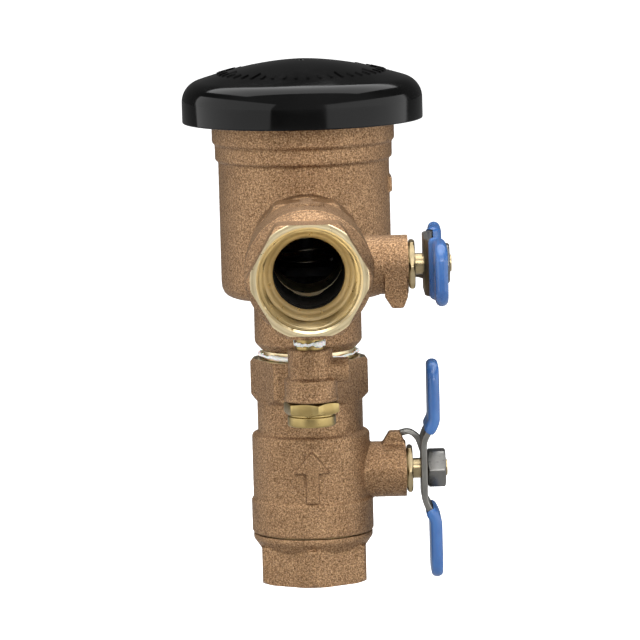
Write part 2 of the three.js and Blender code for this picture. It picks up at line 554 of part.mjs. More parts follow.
// Two crossed bars and a ring that hang under the bonnet, with the tube that guides the check's stem.
function guideCage() {
  const c = CAGE;
  const hoop = ring(c.innerR, c.ringR, c.ringFrom, c.top, FINE);
  const drum = ring(c.innerR, c.ringR, c.plate, c.top, FINE);
  const bars = [0, 1].map((i) => box(-c.ringR, c.ringR, -c.legWidth / 2, c.legWidth / 2, c.plate, c.top)
    .rotateZ((i * Math.PI) / 2));
  const legs = bars.map((bar) => meet(bar, drum));
  const spokes = bars.map((bar) => meet(bar, rod(c.ringR, c.plate, c.plateTop, FINE)));
  const tube = rod(c.hubR, c.tubeFrom, c.plateTop, COARSE);
  return cut(join(hoop, ...legs, ...spokes, tube), rod(c.tubeR, c.tubeFrom - 1, c.tubeTop, COARSE));
}

function poppet() {
  const p = POPPET;
  return lathe([
    [0, p.top - 2.4], [p.skirtR - p.skirtWall, p.top - 2.4], [p.skirtR - p.skirtWall, p.from], [p.skirtR, p.from],
    [p.skirtR, p.top - 2.4], [p.discR, p.top - 2.4], [p.discR, p.top], [p.sealIn - GAP, p.top],
    [p.sealIn - GAP, p.top + 1.2], [p.springR + 1.8, p.top + 1.2], [p.springR + 1.8, p.top], [p.stemR, p.top],
    [p.stemR, p.stemTop], [0, p.stemTop],
  ], FINE);
}

function checkHolder() {
  const c = CHECK;
  return lathe([
    [0, c.sealFrom - 1.4], [c.pinR, c.sealFrom - 1.4], [c.pinR, c.discFrom], [c.discR, c.discFrom],
    [c.discR, c.discTop - 0.8], [c.discR - 0.8, c.discTop], [c.stemR + 2, c.discTop], [c.stemR, c.discTop + 2],
    [c.stemR, c.stemTop - 1], [c.stemR - 1, c.stemTop], [0, c.stemTop],
  ], MEDIUM);
}

// The dome's outline: outside from the rim to the apex, inset by the wall for the inside.
function domeOutline(inset) {
  const c = COVER;
  const rim = c.rimR - inset;
  const crown = arc(rim - c.shoulderR, c.shoulderZ, c.shoulderR - inset * 0.6, 0, 72, 4);
  const [crownR, crownZ] = crown[crown.length - 1];
  const apex = c.apexZ - inset;
  const steps = 5;
  const dome = [...Array(steps).keys()].map((i) => {
    const t = (i + 1) / steps;
    const drop = (1 - t) ** 1.75;
    return [crownR * (1 - t), apex - (apex - crownZ) * drop];
  });
  return [[rim, c.rimZ], ...crown, ...dome.slice(0, -1), [0, apex]];
}

function cover() {
  const c = COVER;
  const outside = lathe([[0, c.rimZ], ...domeOutline(0)], COVER.facets);
  const opening = [[0, c.rimZ - 1], [c.rimR - c.wall, c.rimZ - 1]];
  const inside = lathe([...opening, ...domeOutline(c.wall)], COVER.facets);
  const post = rod(c.bossR, BONNET.hubTop + GAP, c.apexZ - 1.4, COARSE);
  const screwHole = rod(BONNET.screwR + GAP, BONNET.hubTop - 1, c.apexZ + 1, COARSE);
  const recess = rod(c.screwHead + GAP, c.apexZ - 2.6, c.apexZ + 1, COARSE);
  return cut(join(cut(outside, inside), post), screwHole, recess);
}

function coverScrew() {
  const headFrom = COVER.apexZ - 2.6 + GAP;
  const shank = rod(BONNET.screwR, BONNET.screwFrom + GAP, headFrom + 0.5, COARSE);
  const head = lathe([
    [0, headFrom], [COVER.screwHead, headFrom], [COVER.screwHead, headFrom + 1],
    [COVER.screwHead - 1, headFrom + 1.9], [0, headFrom + 2.1],
  ], COARSE);
  const slots = [0, Math.PI / 2].map((turn) => (
    box(-2.2, 2.2, -0.4, 0.4, headFrom + 0.9, headFrom + 3).rotateZ(turn)
  ));
  return cut(join(shank, head), ...slots);
}

function addMainBody() {
  const p = POPPET;
  const k = CHECK;
  addMesh(part, "main_body", mainBody(), "castBronze");
  addMesh(part, "bonnet", bonnet(), "greyPlastic");
  addMesh(part, "bonnet_o_ring", ring(BONNET.grooveR + GAP, BONNET.threadR + 0.1, BONNET.grooveFrom + GAP,
    BONNET.grooveTo - GAP, FINE), "rubber");
  addMesh(part, "guide_cage", guideCage(), "greyPlastic");
  addMesh(part, "air_poppet", poppet(), "greyPlastic");
  addMesh(part, "air_poppet_seal", ring(p.sealIn, p.discR, p.sealFrom, p.sealTop, FINE), "rubber");
  addMesh(part, "air_poppet_spring", coil(p.springR, p.top + GAP, p.springTo, 4), "steel");
  addMesh(part, "check_holder", checkHolder(), "greyPlastic");
  addMesh(part, "check_seal", ring(k.pinR + GAP, k.sealR, k.sealFrom, k.sealTop, MEDIUM), "rubber");
  const washer = ring(k.pinR + GAP, k.washerR, k.washerFrom + 0.4, k.sealFrom - GAP, MEDIUM);
  addMesh(part, "check_washer", washer, "steel");
  addMesh(part, "check_screw", rod(k.screwHeadR, k.washerFrom - 1.8, k.washerFrom + 0.1, COARSE), "steel");
  addMesh(part, "check_spring", coil(k.springR, k.springFrom, k.springTo, 6), "steel");
  addMesh(part, "canopy", cover(), "blackPlastic");
  addMesh(part, "canopy_screw", coverScrew(), "steel");
  addMesh(part, "inlet_thread_tape",
    tapeCollar(BODY.rootR, 2.2, VALVE.length + GAP, BODY.flareFrom - GAP, FINE), "ptfe");
  const outletTape = alongMinusY(tapeCollar(BODY.rootR, 2.2, BODY.branchFlare + GAP, BODY.branchEnd, FINE));
  addMesh(part, "outlet_thread_tape", outletTape.translate(0, 0, OUTLET_Z), "ptfe");
}

addMainBody();
const inletTurns = { body: -0.1, tail: Math.PI / 6, gland: 0, nut: 0 };
addValve("inlet", "test_cock_1", inletTurns, (group) => group.position.set(0, 0, 0));
addValve("outlet", "test_cock_2", { body: 0, tail: 0, gland: Math.PI / 6, nut: Math.PI / 6 }, (group) => {
  group.position.set(0, -OUTLET_FACE, OUTLET_Z);
  group.rotation.x = -Math.PI / 2;
});

export default part;
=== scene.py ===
"""The looks of a pressure vacuum breaker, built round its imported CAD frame.

Shapes are worked out in millimetres in each sub-assembly's own frame and placed by the frame's boxes:
a valve's +Z runs from its tailpiece to its hexagon, a test cock's +Z runs out from the valve's axis, and
in both the stem points along +X. Objects end up in metres in the row frame.
"""

import json
import math
from functools import partial
from types import SimpleNamespace

import bmesh
import bpy
from mathutils import Matrix, Quaternion, Vector, noise


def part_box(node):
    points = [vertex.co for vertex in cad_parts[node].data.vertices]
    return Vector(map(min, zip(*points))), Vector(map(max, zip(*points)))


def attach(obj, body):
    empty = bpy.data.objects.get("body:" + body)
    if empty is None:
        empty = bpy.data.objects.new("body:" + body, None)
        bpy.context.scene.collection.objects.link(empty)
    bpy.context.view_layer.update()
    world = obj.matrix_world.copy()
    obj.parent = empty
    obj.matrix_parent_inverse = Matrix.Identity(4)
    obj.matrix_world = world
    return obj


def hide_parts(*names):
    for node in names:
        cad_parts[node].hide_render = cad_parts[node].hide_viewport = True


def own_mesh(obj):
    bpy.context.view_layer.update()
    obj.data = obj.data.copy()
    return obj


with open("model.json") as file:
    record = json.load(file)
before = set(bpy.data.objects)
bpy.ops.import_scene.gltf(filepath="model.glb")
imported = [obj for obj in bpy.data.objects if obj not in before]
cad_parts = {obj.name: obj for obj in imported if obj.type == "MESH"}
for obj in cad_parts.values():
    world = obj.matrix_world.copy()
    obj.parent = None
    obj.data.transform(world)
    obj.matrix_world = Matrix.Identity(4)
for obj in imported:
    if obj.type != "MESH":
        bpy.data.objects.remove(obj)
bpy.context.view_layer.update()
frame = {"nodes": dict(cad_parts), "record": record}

MM = 0.001
GAP = 0.3  # clearance between neighbouring pieces
DENSE = 112  # segments round castings and the canopy
SMALL = 56  # segments round stems and small turned parts

# Driving dimensions, in millimetres

VALVE = SimpleNamespace(
    hex_flats=37.6, hex_corner=21.3, hex_face=20.2, corner_cut=1.8, thread=16.2, mouth=17.5, port=12.3,
    tail_hex=12.6, tail_ring=16.0, seam=17.8, ridge=30.0, shoulder=52.4, neck=54.7, neck_end=65.9,
    body_hex=68.1, length=81.4, socket=17.5, cone=20.5, tap=60.3, ring_r=21.6, barrel_r=22.0,
    chamber_r=21.3, neck_r=19.05, join_r=19.6, join_end=27.3, cavity_r=18.3, pocket_r=16.2,
    seat_front=7.9, seat_back=13.9, ball_z=39.5, ball_r=17.6, slot_x=14.2, slot=5.4,
)
STEM = SimpleNamespace(
    boss_r=10.1, boss_end=34.2, tang_x=14.5, tang_thick=4.8, tang_long=11, collar_x=18.3, collar_end=20.7,
    collar_r=6.0, shaft_r=4.5, shaft_end=24.0, spindle_r=3.66, pack_r=7.2, pack_end=29.0, gland_r=6.9,
    gland_flats=16.1, gland_end=36.6, end=49.2, flat=2.7, flat_from=39.2, flat_to=42.0, screw_r=3.5,
)
LUG = SimpleNamespace(start=25.9, top_start=28.3, top_end=32.2, end=33.8, reach=14.0, face=1.6, back=-3.6,
                      low_face=6.4)
HANDLE = SimpleNamespace(
    plate_x=40.6, arm_x=44.5, bend_from=9.5, bend_to=19.5, thick=2.2, width=19.6, reach=37.9, corner=7.0,
    grip_from=14.0, grip_reach=39.2, grip_thick=4.3, grip_width=21.6, grip_corner=8.0, nut_flats=13.0,
    nut_high=6.5, tab_width=4.0, tab_y=2.0, tab_r=13.7, tab_end=31.2, tab_thick=2.0,
)
COCK = SimpleNamespace(
    pad_r=8.2, pad_end=27.3, tap_r=5.1, thread_from=17.5, thread_r=4.8, root_r=5.15, body_from=31.2,
    step=41.2, body_end=49.5, upper_r=7.8, lower_r=9.2, hex_flats=17.46, hex_end=54.0, end=58.2, end_r=8.4,
    bore_r=2.5, ball=39.0, ball_r=5.2, port_r=2.4, cavity_r=5.6, cavity_from=36.0, pocket_r=4.9,
    seat_back=6.2, screw_from=43.3, screw_r=7.0, hose_r=5.6, hose_from=47.5, boss_r=4.4, boss_end=13.5,
    stem_r=2.2, stem_end=13.0, collar_r=3.0, collar_from=5.9, collar_to=7.3, bead_r=9.55,
)
BODY = SimpleNamespace(
    nipple_from=66.0, nipple_r=15.9, root_r=16.6, bore_r=12.5, flare_from=84.3, flare_to=87.3, neck_r=19.35,
    floor_out=104.0, corner=6.6, barrel_r=30.7, ring_from=153.1, ring_r=31.8, rim_from=159.3, rim_r=32.75,
    top=169.0, seat_top=109.2, seat_r=15.2, floor=107.2, chamber_r=27.5, thread_from=153.7, thread_r=28.5,
    floor_r=25.0, branch_r=19.4, flare=36.4, branch_end=38.4, nipple_end=54.4, pad_from=141, pad_to=146.5,
)
COVER = SimpleNamespace(
    rim_z=167.2, rim_r=43.2, shoulder_z=174.6, shoulder_r=8.0, wall=2.2, apex=189.2, head_r=3.6, post_r=5.0,
    marks=44, mark_r=30.5, mark_short=3.6, mark_long=6.0, mark_half=0.55, rib_r=24,
)
ARROW = SimpleNamespace(low=31, high=50, head=8, half_shaft=2.2, half_head=6.4, proud=1.4)
CAMERA = SimpleNamespace(azimuth=-0.6, elevation=7.6, roll=-1.5, distance=1.708, lens=269.3,
                         aim=(0.0042, -0.02, 0.0972))  # degrees and metres
CLEAR = 60  # far enough out to be clear of a casting
PIPE_PITCH = 2.2  # threads of the 1 inch pipe ports
COCK_PITCH = 0.94  # threads of the test cocks
NUT_PITCH = 1.0  # threads of the stems

BODY_OF = {
    node: body
    for body, nodes in frame["record"]["behaviour"]["bodies"].items()
    for node in nodes
}

# Placing


def middle(node):
    low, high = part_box(node)
    return (low + high) / 2


def valve_place(valve):
    """The matrix that takes a shutoff valve's own frame to the row frame."""
    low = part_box(valve + "_valve_tailpiece")[0]
    centre = middle(valve + "_valve_tailpiece")
    if valve == "inlet":
        return Matrix.Translation((centre.x, centre.y, low.z))
    return Matrix.Translation((centre.x, low.y, centre.z)) @ ALONG_Y


def ball_place(valve):
    """The same, from the ball's middle."""
    return valve_place(valve) @ shift(z=VALVE.ball_z)


def cock_place(valve):
    """The matrix that takes a test cock's own frame to the row frame."""
    return valve_place(valve) @ shift(z=VALVE.tap) @ ALONG_Y


# Turn a shape made along +Z to lie along +X, with its x across +Y, or along +Y.
ALONG_X = Matrix(((0, 0, 1, 0), (1, 0, 0, 0), (0, 1, 0, 0), (0, 0, 0, 1)))
ALONG_Y = Matrix.Rotation(-math.pi / 2, 4, "X")
UPRIGHT = Matrix(((1, 0, 0, 0), (0, 0, 1, 0), (0, 1, 0, 0), (0, 0, 0, 1)))  # swaps y and z


def shift(x=0.0, y=0.0, z=0.0):
    return Matrix.Translation((x * MM, y * MM, z * MM))


def polar(r, angle, z=0.0):
    return (r * math.cos(angle), r * math.sin(angle), z)


def spread(low, high, steps):
    """Numbers at equal steps from low to high."""
    return [low + (high - low) * i / steps for i in range(steps + 1)]


# The branch's own frame, with +Z out towards the outlet.
BRANCH = Matrix.Translation((0, 0, middle("outlet_valve_tailpiece").z)) @ Matrix.Rotation(math.pi / 2, 4, "X")

# Mesh making


def linked(data):
    made = bpy.data.objects.new(data.name, data)
    bpy.context.scene.collection.objects.link(made)
    return made


def solid(points, faces, matrix=None):
    """A mesh object from points in millimetres, with its faces turned outwards."""
    mesh = bpy.data.meshes.new("shape")
    mesh.from_pydata([Vector(p) * MM for p in points], [], faces)
    work = bmesh.new()
    work.from_mesh(mesh)
    bmesh.ops.recalc_face_normals(work, faces=work.faces)
    work.to_mesh(mesh)
    work.free()
    if matrix:
        mesh.transform(matrix)
    return linked(mesh)


def rounded(corners, steps=5):
    """A closed outline of (x, y) or (x, y, radius) corners, those with a radius turned into curves."""
    points = []
    for i, corner in enumerate(corners):
        here = Vector(corner[:2])
        if len(corner) < 3:
            points.append(here)
            continue
        back = Vector(corners[i - 1][:2]) - here
        on = Vector(corners[(i + 1) % len(corners)][:2]) - here
        reach = corner[2] / math.tan(back.angle(on) / 2)
        reach = min(reach, 0.49 * back.length, 0.49 * on.length)
        start = here + back.normalized() * reach
        end = here + on.normalized() * reach
        for t in spread(0, 1, steps):
            points.append(start * (1 - t) ** 2 + here * 2 * t * (1 - t) + end * t**2)
    return points


def turned(corners, segments=DENSE, matrix=None):
    """A solid of revolution round Z from a closed outline of (radius, height[, fillet]) corners."""
    points = []
    rings = []
    for r, z in rounded(corners):
        if r < 1e-6:
            rings.append([len(points)] * segments)
            points.append((0, 0, z))
            continue
        rings.append(list(range(len(points), len(points) + segments)))
        points.extend(polar(r, 2 * math.pi * j / segments, z) for j in range(segments))
    faces = []
    for a, b in zip(rings, rings[1:] + rings[:1]):
        for j in range(segments):
            k = (j + 1) % segments
            corners_of_face = list(dict.fromkeys([a[j], a[k], b[k], b[j]]))
            if len(corners_of_face) > 2:
                faces.append(corners_of_face)
    return solid(points, faces, matrix)


def lathed(corners, segments=DENSE, matrix=None):
    """The same, with flat ends that reach in to the axis from the first and last corners."""
    return turned([(0, corners[0][1]), *corners, (0, corners[-1][1])], segments, matrix)


def rod(r, low, high, segments=SMALL, matrix=None):
    return lathed([(r, low), (r, high)], segments, matrix)


def stepped(start, *steps, segments=DENSE, matrix=None):
    """A shape turned in lengths along Z: (end, radius), or (end, radius, last radius) where it tapers."""
    outline = []
    for end, first, *last in steps:
        for corner in ((first, start), (last[0] if last else first, end)):
            if corner not in outline[-1:]:
                outline.append(corner)
        start = end
    return lathed(outline, segments, matrix)


def loft(sections, matrix=None, ring=False):
    """A closed solid through closed loops of points, capped at both ends or joined into a ring."""
    size = len(sections[0])
    points = [p for section in sections for p in section]
    faces = [] if ring else [list(range(size)), list(range(len(points) - size, len(points)))]
    for row in range(len(sections) - (not ring)):
        a = row * size
        b = (a + size) % len(points)
        faces.extend([a + j, a + (j + 1) % size, b + (j + 1) % size, b + j] for j in range(size))
    return solid(points, faces, matrix)


def prism(outline, low, high, matrix=None):
    return loft([[(p[0], p[1], z) for p in outline] for z in (low, high)], matrix)


def block(x, y, z, matrix=None):
    return prism([(x[0], y[0]), (x[1], y[0]), (x[1], y[1]), (x[0], y[1])], z[0], z[1], matrix)


def hexagon(flats, turn=0.0):
    corner = flats / math.sqrt(3)
    return [polar(corner, turn + i * math.pi / 3) for i in range(6)]


def threaded(low, high, crest, depth, pitch, taper=0.0, segments=64, matrix=None):
    """A rod along Z with a right-hand V thread; taper is how much its radius changes from low to high."""
    rows = max(4, round((high - low) / pitch * 8))
    sections = []
    for share in spread(0, 1, rows):
        z = low + (high - low) * share
        fade = min(1.0, 4 * share, 4 * (1 - share))
        loop = []
        for j in range(segments):
            phase = (z / pitch - j / segments) % 1.0
            r = crest + taper * share - depth * abs(2 * phase - 1) * fade
            loop.append(polar(r, 2 * math.pi * j / segments, z))
        sections.append(loop)
    return loft(sections, matrix)


def helix(radius, low, high, turns, wire):
    """A coil spring along Z with flat closed ends."""
    sections = []
    flat = 0.75 / turns
    for t in spread(0, 1, turns * 40):
        climb = min(max((t - flat) / (1 - 2 * flat), 0.0), 1.0)
        height = low + wire + (high - low - 2 * wire) * (0.06 * t + 0.94 * climb)
        angle = 2 * math.pi * turns * t
        out = Vector(polar(1, angle))
        centre = out * radius + Vector((0, 0, height))
        sections.append([
            centre + out * wire * math.cos(a) + Vector((0, 0, wire * math.sin(a)))
            for a in spread(0, 2 * math.pi, 14)[:-1]
        ])
    return loft(sections)


def evaluated(obj):
    """Bakes an object's modifiers into its mesh."""
    graph = bpy.context.evaluated_depsgraph_get()
    mesh = bpy.data.meshes.new_from_object(obj.evaluated_get(graph))
    obj.modifiers.clear()
    obj.data = mesh
    return obj


def combine(operation, obj, *tools):
    """A boolean of obj with each tool in turn; the tools are used up."""
    for tool in tools:
        change = obj.modifiers.new("combine", "BOOLEAN")
        change.operation = operation
        change.solver = "MANIFOLD"
        change.object = tool
        evaluated(obj)
        bpy.data.objects.remove(tool)
    return obj


cut = partial(combine, "DIFFERENCE")
join = partial(combine, "UNION")
trim = partial(combine, "INTERSECT")


def merged(*parts):
    """One object that holds the meshes of several."""
    work = bmesh.new()
    for part in parts:
        work.from_mesh(part.data)
        bpy.data.objects.remove(part)
    mesh = bpy.data.meshes.new("shape")
    work.to_mesh(mesh)
    work.free()
    return linked(mesh)


def melted(obj, voxel, passes):
    """Fuses overlapping shapes into one skin and softens it, as a mould or a dip does."""
    fuse = obj.modifiers.new("fuse", "REMESH")
    fuse.mode = "VOXEL"
    fuse.voxel_size = voxel * MM
    fuse.adaptivity = 0.0
    soften = obj.modifiers.new("soften", "SMOOTH")
    soften.factor = 0.5
    soften.iterations = passes
    return evaluated(obj)


def roughened(obj, height, size):
    """Moves each point along its normal by noise, for the grain that a sand mould leaves."""
    mesh = obj.data
    normals = [normal.vector.copy() for normal in mesh.vertex_normals]
    moved = []
    for vertex, normal in zip(mesh.vertices, normals):
        place = vertex.co / (size * MM)
        lift = noise.noise(place) + 0.5 * noise.noise(place * 2.3)
        moved.extend(vertex.co + normal * lift * height * MM)
    mesh.vertices.foreach_set("co", moved)
    mesh.update()
    return obj


def bevelled(obj, width, segments=3, angle=35):
    edge = obj.modifiers.new("edge", "BEVEL")
    edge.width = width * MM
    edge.segments = segments
    edge.limit_method = "ANGLE"
    edge.angle_limit = math.radians(angle)
    return evaluated(obj)


def paint(obj, *looks, where=None):
    """Gives the mesh its materials; where(centre in millimetres, normal) numbers the one for a face."""
    obj.data.materials.clear()
    for look in looks:
        obj.data.materials.append(look)
    for face in obj.data.polygons:
        face.material_index = int(where(face.center / MM, face.normal)) if where else 0
    return obj


def smooth(obj, crisp=32):
    """Smooth shading that keeps edges sharper than crisp degrees."""
    obj.data.shade_smooth()
    obj.data.set_sharp_from_angle(angle=math.radians(crisp))


def stand_in(obj, node, matrix=None, crisp=32):
    """Puts a finished piece in place of its CAD node."""
    if matrix:
        obj.data.transform(matrix)
    obj.name = obj.data.name = node + "_fine"
    smooth(obj, crisp)
    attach(obj, BODY_OF[node])
    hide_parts(node)


def off_axis(p):
    """Distance from the Z axis."""
    return math.hypot(p.x, p.y)


# Materials


def feed(tree, socket, value):
    """Links an output to a socket, or sets the value on the socket itself."""
    if isinstance(value, bpy.types.NodeSocket):
        tree.links.new(value, socket)
    else:
        socket.default_value = value


def new_node(tree, kind, **inputs):
    made = tree.nodes.new(kind)
    for name, value in inputs.items():
        feed(tree, made.inputs[name.replace("_", " ")], value)
    return made


class Look:
    """A material under construction: a Principled shader and the nodes that feed it."""

    def __init__(self, name, color, roughness, metallic=0.0):
        self.material = bpy.data.materials.new(name)
        self.material.use_nodes = True
        self.tree = self.material.node_tree
        self.shader = self.tree.nodes["Principled BSDF"]
        self.set(Base_Color=(*color, 1), Roughness=roughness, Metallic=metallic)
        self.place = self.tree.nodes.new("ShaderNodeTexCoord").outputs["Object"]
        self.bumps = None

    def node(self, kind, **inputs):
        return new_node(self.tree, kind, **inputs)

    def noise(self, size, detail=3.0, stretch=(1, 1, 1), roughness=0.55):
        """Noise whose features are about size millimetres across, longer where stretch is above 1."""
        scaled = self.node("ShaderNodeMapping", Vector=self.place, Scale=[1 / s for s in stretch])
        made = self.node("ShaderNodeTexNoise", Vector=scaled.outputs["Vector"], Scale=1 / (size * MM),
                         Detail=detail, Roughness=roughness)
        return made.outputs["Fac"]

    def ramp(self, value, *stops):
        """Colours or greys set at positions along a value: (position, colour)."""
        made = self.node("ShaderNodeValToRGB", Fac=value)
        elements = made.color_ramp.elements
        while len(elements) < len(stops):
            elements.new(0.5)
        for element, (position, color) in zip(elements, stops):
            element.position = position
            element.color = (*color, 1) if isinstance(color, tuple) else (color, color, color, 1)
        return made.outputs["Color"]

    def mix(self, share, a, b, blend="MIX"):
        made = self.tree.nodes.new("ShaderNodeMix")
        made.data_type = "RGBA"
        made.blend_type = blend
        for name, value in (("Factor", share), ("A", a), ("B", b)):
            feed(self.tree, made.inputs[name], value)
        return next(o for o in made.outputs if o.type == "RGBA")

    def bump(self, height, depth, strength=1.0):
        """Adds relief of the given depth in millimetres on top of what is there."""
        made = self.node("ShaderNodeBump", Height=height, Distance=depth * MM, Strength=strength)
        if self.bumps:
            self.tree.links.new(self.bumps, made.inputs["Normal"])
        self.bumps = made.outputs["Normal"]
        self.tree.links.new(self.bumps, self.shader.inputs["Normal"])

    def set(self, **inputs):
        for name, value in inputs.items():
            feed(self.tree, self.shader.inputs[name.replace("_", " ")], value)


def grey(value):
    return (value, value, value, 1)


def cast_bronze():
    look = Look("cast_bronze", (0.5, 0.33, 0.2), 0.5, 0.85)
    grain = look.noise(0.58, 4.0, roughness=0.65)
    sparkle = look.noise(0.28, 2.0)
    patches = look.noise(14, 3.0)
    skin = look.ramp(grain, (0.33, (0.10, 0.053, 0.023)), (0.5, (0.28, 0.165, 0.086)),
                     (0.66, (0.53, 0.34, 0.18)))
    tarnish = look.ramp(patches, (0.35, (0.80, 0.77, 0.74)), (0.65, (1.0, 1.0, 1.0)))
    toned = look.mix(0.8, skin, tarnish, "MULTIPLY")
    edges = look.tree.nodes.new("ShaderNodeNewGeometry").outputs["Pointiness"]
    # Pointiness darkens the hollows and the feet of raised marks: painted crevice shade.
    crevice_shade = look.ramp(edges, (0.42, (0.28, 0.23, 0.19)), (0.475, (0.86, 0.84, 0.82)),
                     (0.52, (1.0, 1.0, 1.0)))
    glints = look.ramp(sparkle, (0.6, 0.0), (0.74, 1.0))
    look.set(Base_Color=look.mix(glints, look.mix(0.9, toned, crevice_shade, "MULTIPLY"), (0.62, 0.44, 0.29, 1)))
    look.set(Roughness=look.ramp(grain, (0.3, 0.64), (0.7, 0.38)))
    look.bump(grain, 0.2, 1.0)
    look.bump(sparkle, 0.08, 0.8)
    return look.material


def machined_brass(name, direction, centre, color=(0.86, 0.72, 0.45)):
    """Bright turned brass with tool rings round an axis through centre."""
    look = Look(name, color, 0.24, 1.0)
    moved = look.node("ShaderNodeMapping", Vector=look.place, Location=[-v for v in centre])
    rings = look.node("ShaderNodeTexWave", Vector=moved.outputs["Vector"], Scale=180.0, Distortion=1.2,
                      Detail=2.0)
    rings.wave_type = "RINGS"
    rings.rings_direction = direction
    smears = look.noise(3.0, 4.0)
    lines = look.ramp(rings.outputs["Fac"], (0.1, (0.72, 0.68, 0.62)), (0.6, (1.0, 1.0, 1.0)))
    smeared = look.ramp(smears, (0.25, tuple(0.85 * c for c in color)), (0.75, color))
    look.set(Base_Color=look.mix(0.6, smeared, lines, "MULTIPLY"))
    look.set(Roughness=look.ramp(smears, (0.2, 0.38), (0.8, 0.24)))
    look.bump(rings.outputs["Fac"], 0.04, 0.9)
    look.bump(look.noise(0.4, 3.0), 0.008, 0.5)
    return look.material


def surface(name, tones, finish, reliefs, metallic=0.0, **more):
    """A material whose tone, roughness and relief each follow a noise.

    tones and finish are (noise settings, (position, value), (position, value)), and each of the reliefs is
    (noise settings, depth in millimetres, strength).
    """
    look = Look(name, tones[1][1], finish[1][1], metallic)
    noises = {}

    def field(settings):
        if settings not in noises:
            noises[settings] = look.noise(*settings)
        return noises[settings]

    look.set(Base_Color=look.ramp(field(tones[0]), *tones[1:]))
    look.set(Roughness=look.ramp(field(finish[0]), *finish[1:]), **more)
    for settings, depth, strength in reliefs:
        look.bump(field(settings), depth, strength)
    return look.material


def steel(name, color, roughness, stretch):
    marks = (0.35, 4.0, stretch)
    dull = tuple(0.78 * c for c in color)
    return surface(
        name, ((6.0, 3.0), (0.35, dull), (0.65, color)),
        (marks, (0.3, roughness + 0.12), (0.7, roughness - 0.08)), [(marks, 0.015, 0.6)], 1.0,
    )


def ptfe(name, shade):
    folds = (1.1, 4.0)
    return surface(
        name, (folds, (0.3, (0.8 * shade,) * 3), (0.55, (shade,) * 3)), (folds, (0.3, 0.65), (0.7, 0.45)),
        [(folds, 0.12, 0.8)], Subsurface_Weight=0.25, Subsurface_Scale=0.001,
    )


def floor_paint():
    look = Look("pale_floor", (0.9, 0.9, 0.9), 0.85)
    shown = look.node("ShaderNodeLightPath").outputs["Is Camera Ray"]
    look.set(Base_Color=look.mix(shown, grey(0.45), grey(0.9)))
    look.set(Emission_Color=grey(1.0), Emission_Strength=shown)
    return look.material


BRONZE = cast_bronze()
OUTLET_BRASS = machined_brass("machined_brass_outlet", "Y", middle("outlet_valve_tailpiece"))
INLET_BRASS = machined_brass("machined_brass_inlet", "Z", middle("inlet_valve_tailpiece"))
BRASS = {"inlet": INLET_BRASS, "outlet": OUTLET_BRASS}
STEM_BRASS = {}
COCK_BRASS = {}
for valve, cock, axis in (("inlet", "test_cock_1", "Y"), ("outlet", "test_cock_2", "Z")):
    centre = middle(valve + "_valve_stem")
    STEM_BRASS[valve] = machined_brass("machined_brass_stem_" + valve, "X", centre, (0.46, 0.37, 0.22))
    centre = middle(cock + "_end_fitting")
    name = cock.replace("test", "machined_brass")
    COCK_BRASS[cock] = machined_brass(name, axis, centre, (0.42, 0.315, 0.13))
ZINC = steel("zinc_plated_strap", (0.22, 0.214, 0.197), 0.36, (1, 1, 6))
ZINC_NUT = steel("zinc_plated_nut", (0.2, 0.196, 0.185), 0.32, (6, 1, 1))
STAINLESS = steel("stainless_steel", (0.4, 0.4, 0.39), 0.34, (1, 1, 1))
runs = (9.0, 3.0, (1, 1, 1.8))
VINYL = surface(
    "blue_vinyl", (runs, (0.3, (0.022, 0.082, 0.25)), (0.68, (0.042, 0.135, 0.36))),
    (runs, (0.3, 0.24), (0.7, 0.4)), [(runs, 0.25, 0.5), ((0.5, 2.0), 0.01, 0.5)],
    Coat_Weight=0.1, Coat_Roughness=0.15, Subsurface_Weight=0.08, Subsurface_Scale=0.001,
)
wear = (18.0, 4.0)
GLOSS_BLACK = surface(
    "black_gloss_plastic", (wear, (0.4, (0.002,) * 3), (0.7, (0.0045,) * 3)),
    (wear, (0.35, 0.07), (0.7, 0.15)), [((2.6, 2.0), 0.012, 0.4)], Specular_IOR_Level=0.19,
)
texture = (0.4, 3.0)
GREY_PLASTIC = surface(
    "moulded_grey_plastic", ((8, 3), (0.35, (0.042, 0.045, 0.05)), (0.65, (0.062, 0.065, 0.07))),
    (texture, (0.3, 0.56), (0.7, 0.44)), [(texture, 0.02, 0.6)],
)
dust = (1.2, 4.0)
RUBBER = surface(
    "black_rubber", (dust, (0.4, (0.016, 0.016, 0.017)), (0.75, (0.045,) * 3)),
    (dust, (0.3, 0.85), (0.7, 0.65)), [(dust, 0.02, 0.5)],
)
haze = (4.0, 4.0)
CHROME = surface(
    "chromed_ball", (haze, (0.35, (0.2, 0.2, 0.21)), (0.65, (0.34, 0.34, 0.35))),
    (haze, (0.35, 0.4), (0.7, 0.26)), [((0.8, 3.0), 0.004, 0.4)], 1.0,
)
bore_shade_noise = (0.8, 4.0)  # noise for the near-black rough skin of the deep bores, painted shade for their darkness
BORE_SHADE = surface(
    "painted_bore_shade", (bore_shade_noise, (0.4, (0.008, 0.007, 0.006)), (0.7, (0.02, 0.017, 0.014))),
    (bore_shade_noise, (0.3, 0.95), (0.7, 0.75)), [(bore_shade_noise, 0.08, 0.8)], Specular_IOR_Level=0.2,
)
PTFE = ptfe("white_ptfe", 0.87)
# Near-black PTFE for the valve seats deep in the bores: their dark tone is painted shade.
BORE_SHADE_PTFE = ptfe("ptfe_darkened_as_bore_shade", 0.05)

# Shutoff valves


def port_plug(face, inwards):
    """The tools that cut a tapered pipe socket into a face; inwards is 1 or -1 along Z."""
    v = VALVE
    end = face + inwards * v.socket
    start, stop = sorted((face, end))
    wide, narrow = v.mouth - 0.1, v.thread - 0.3
    low, high = (wide, narrow) if inwards > 0 else (narrow, wide)
    screw = threaded(start, stop, low, 0.85, PIPE_PITCH, high - low)
    flare = stepped(face - inwards, (face, v.mouth + 0.5),
                    (face + inwards * 1.5, v.mouth + 0.5, v.mouth - 1))
    cone = stepped(end - inwards, (end, narrow), (end + inwards * 3.0, narrow, v.port))
    return [screw, flare, cone]


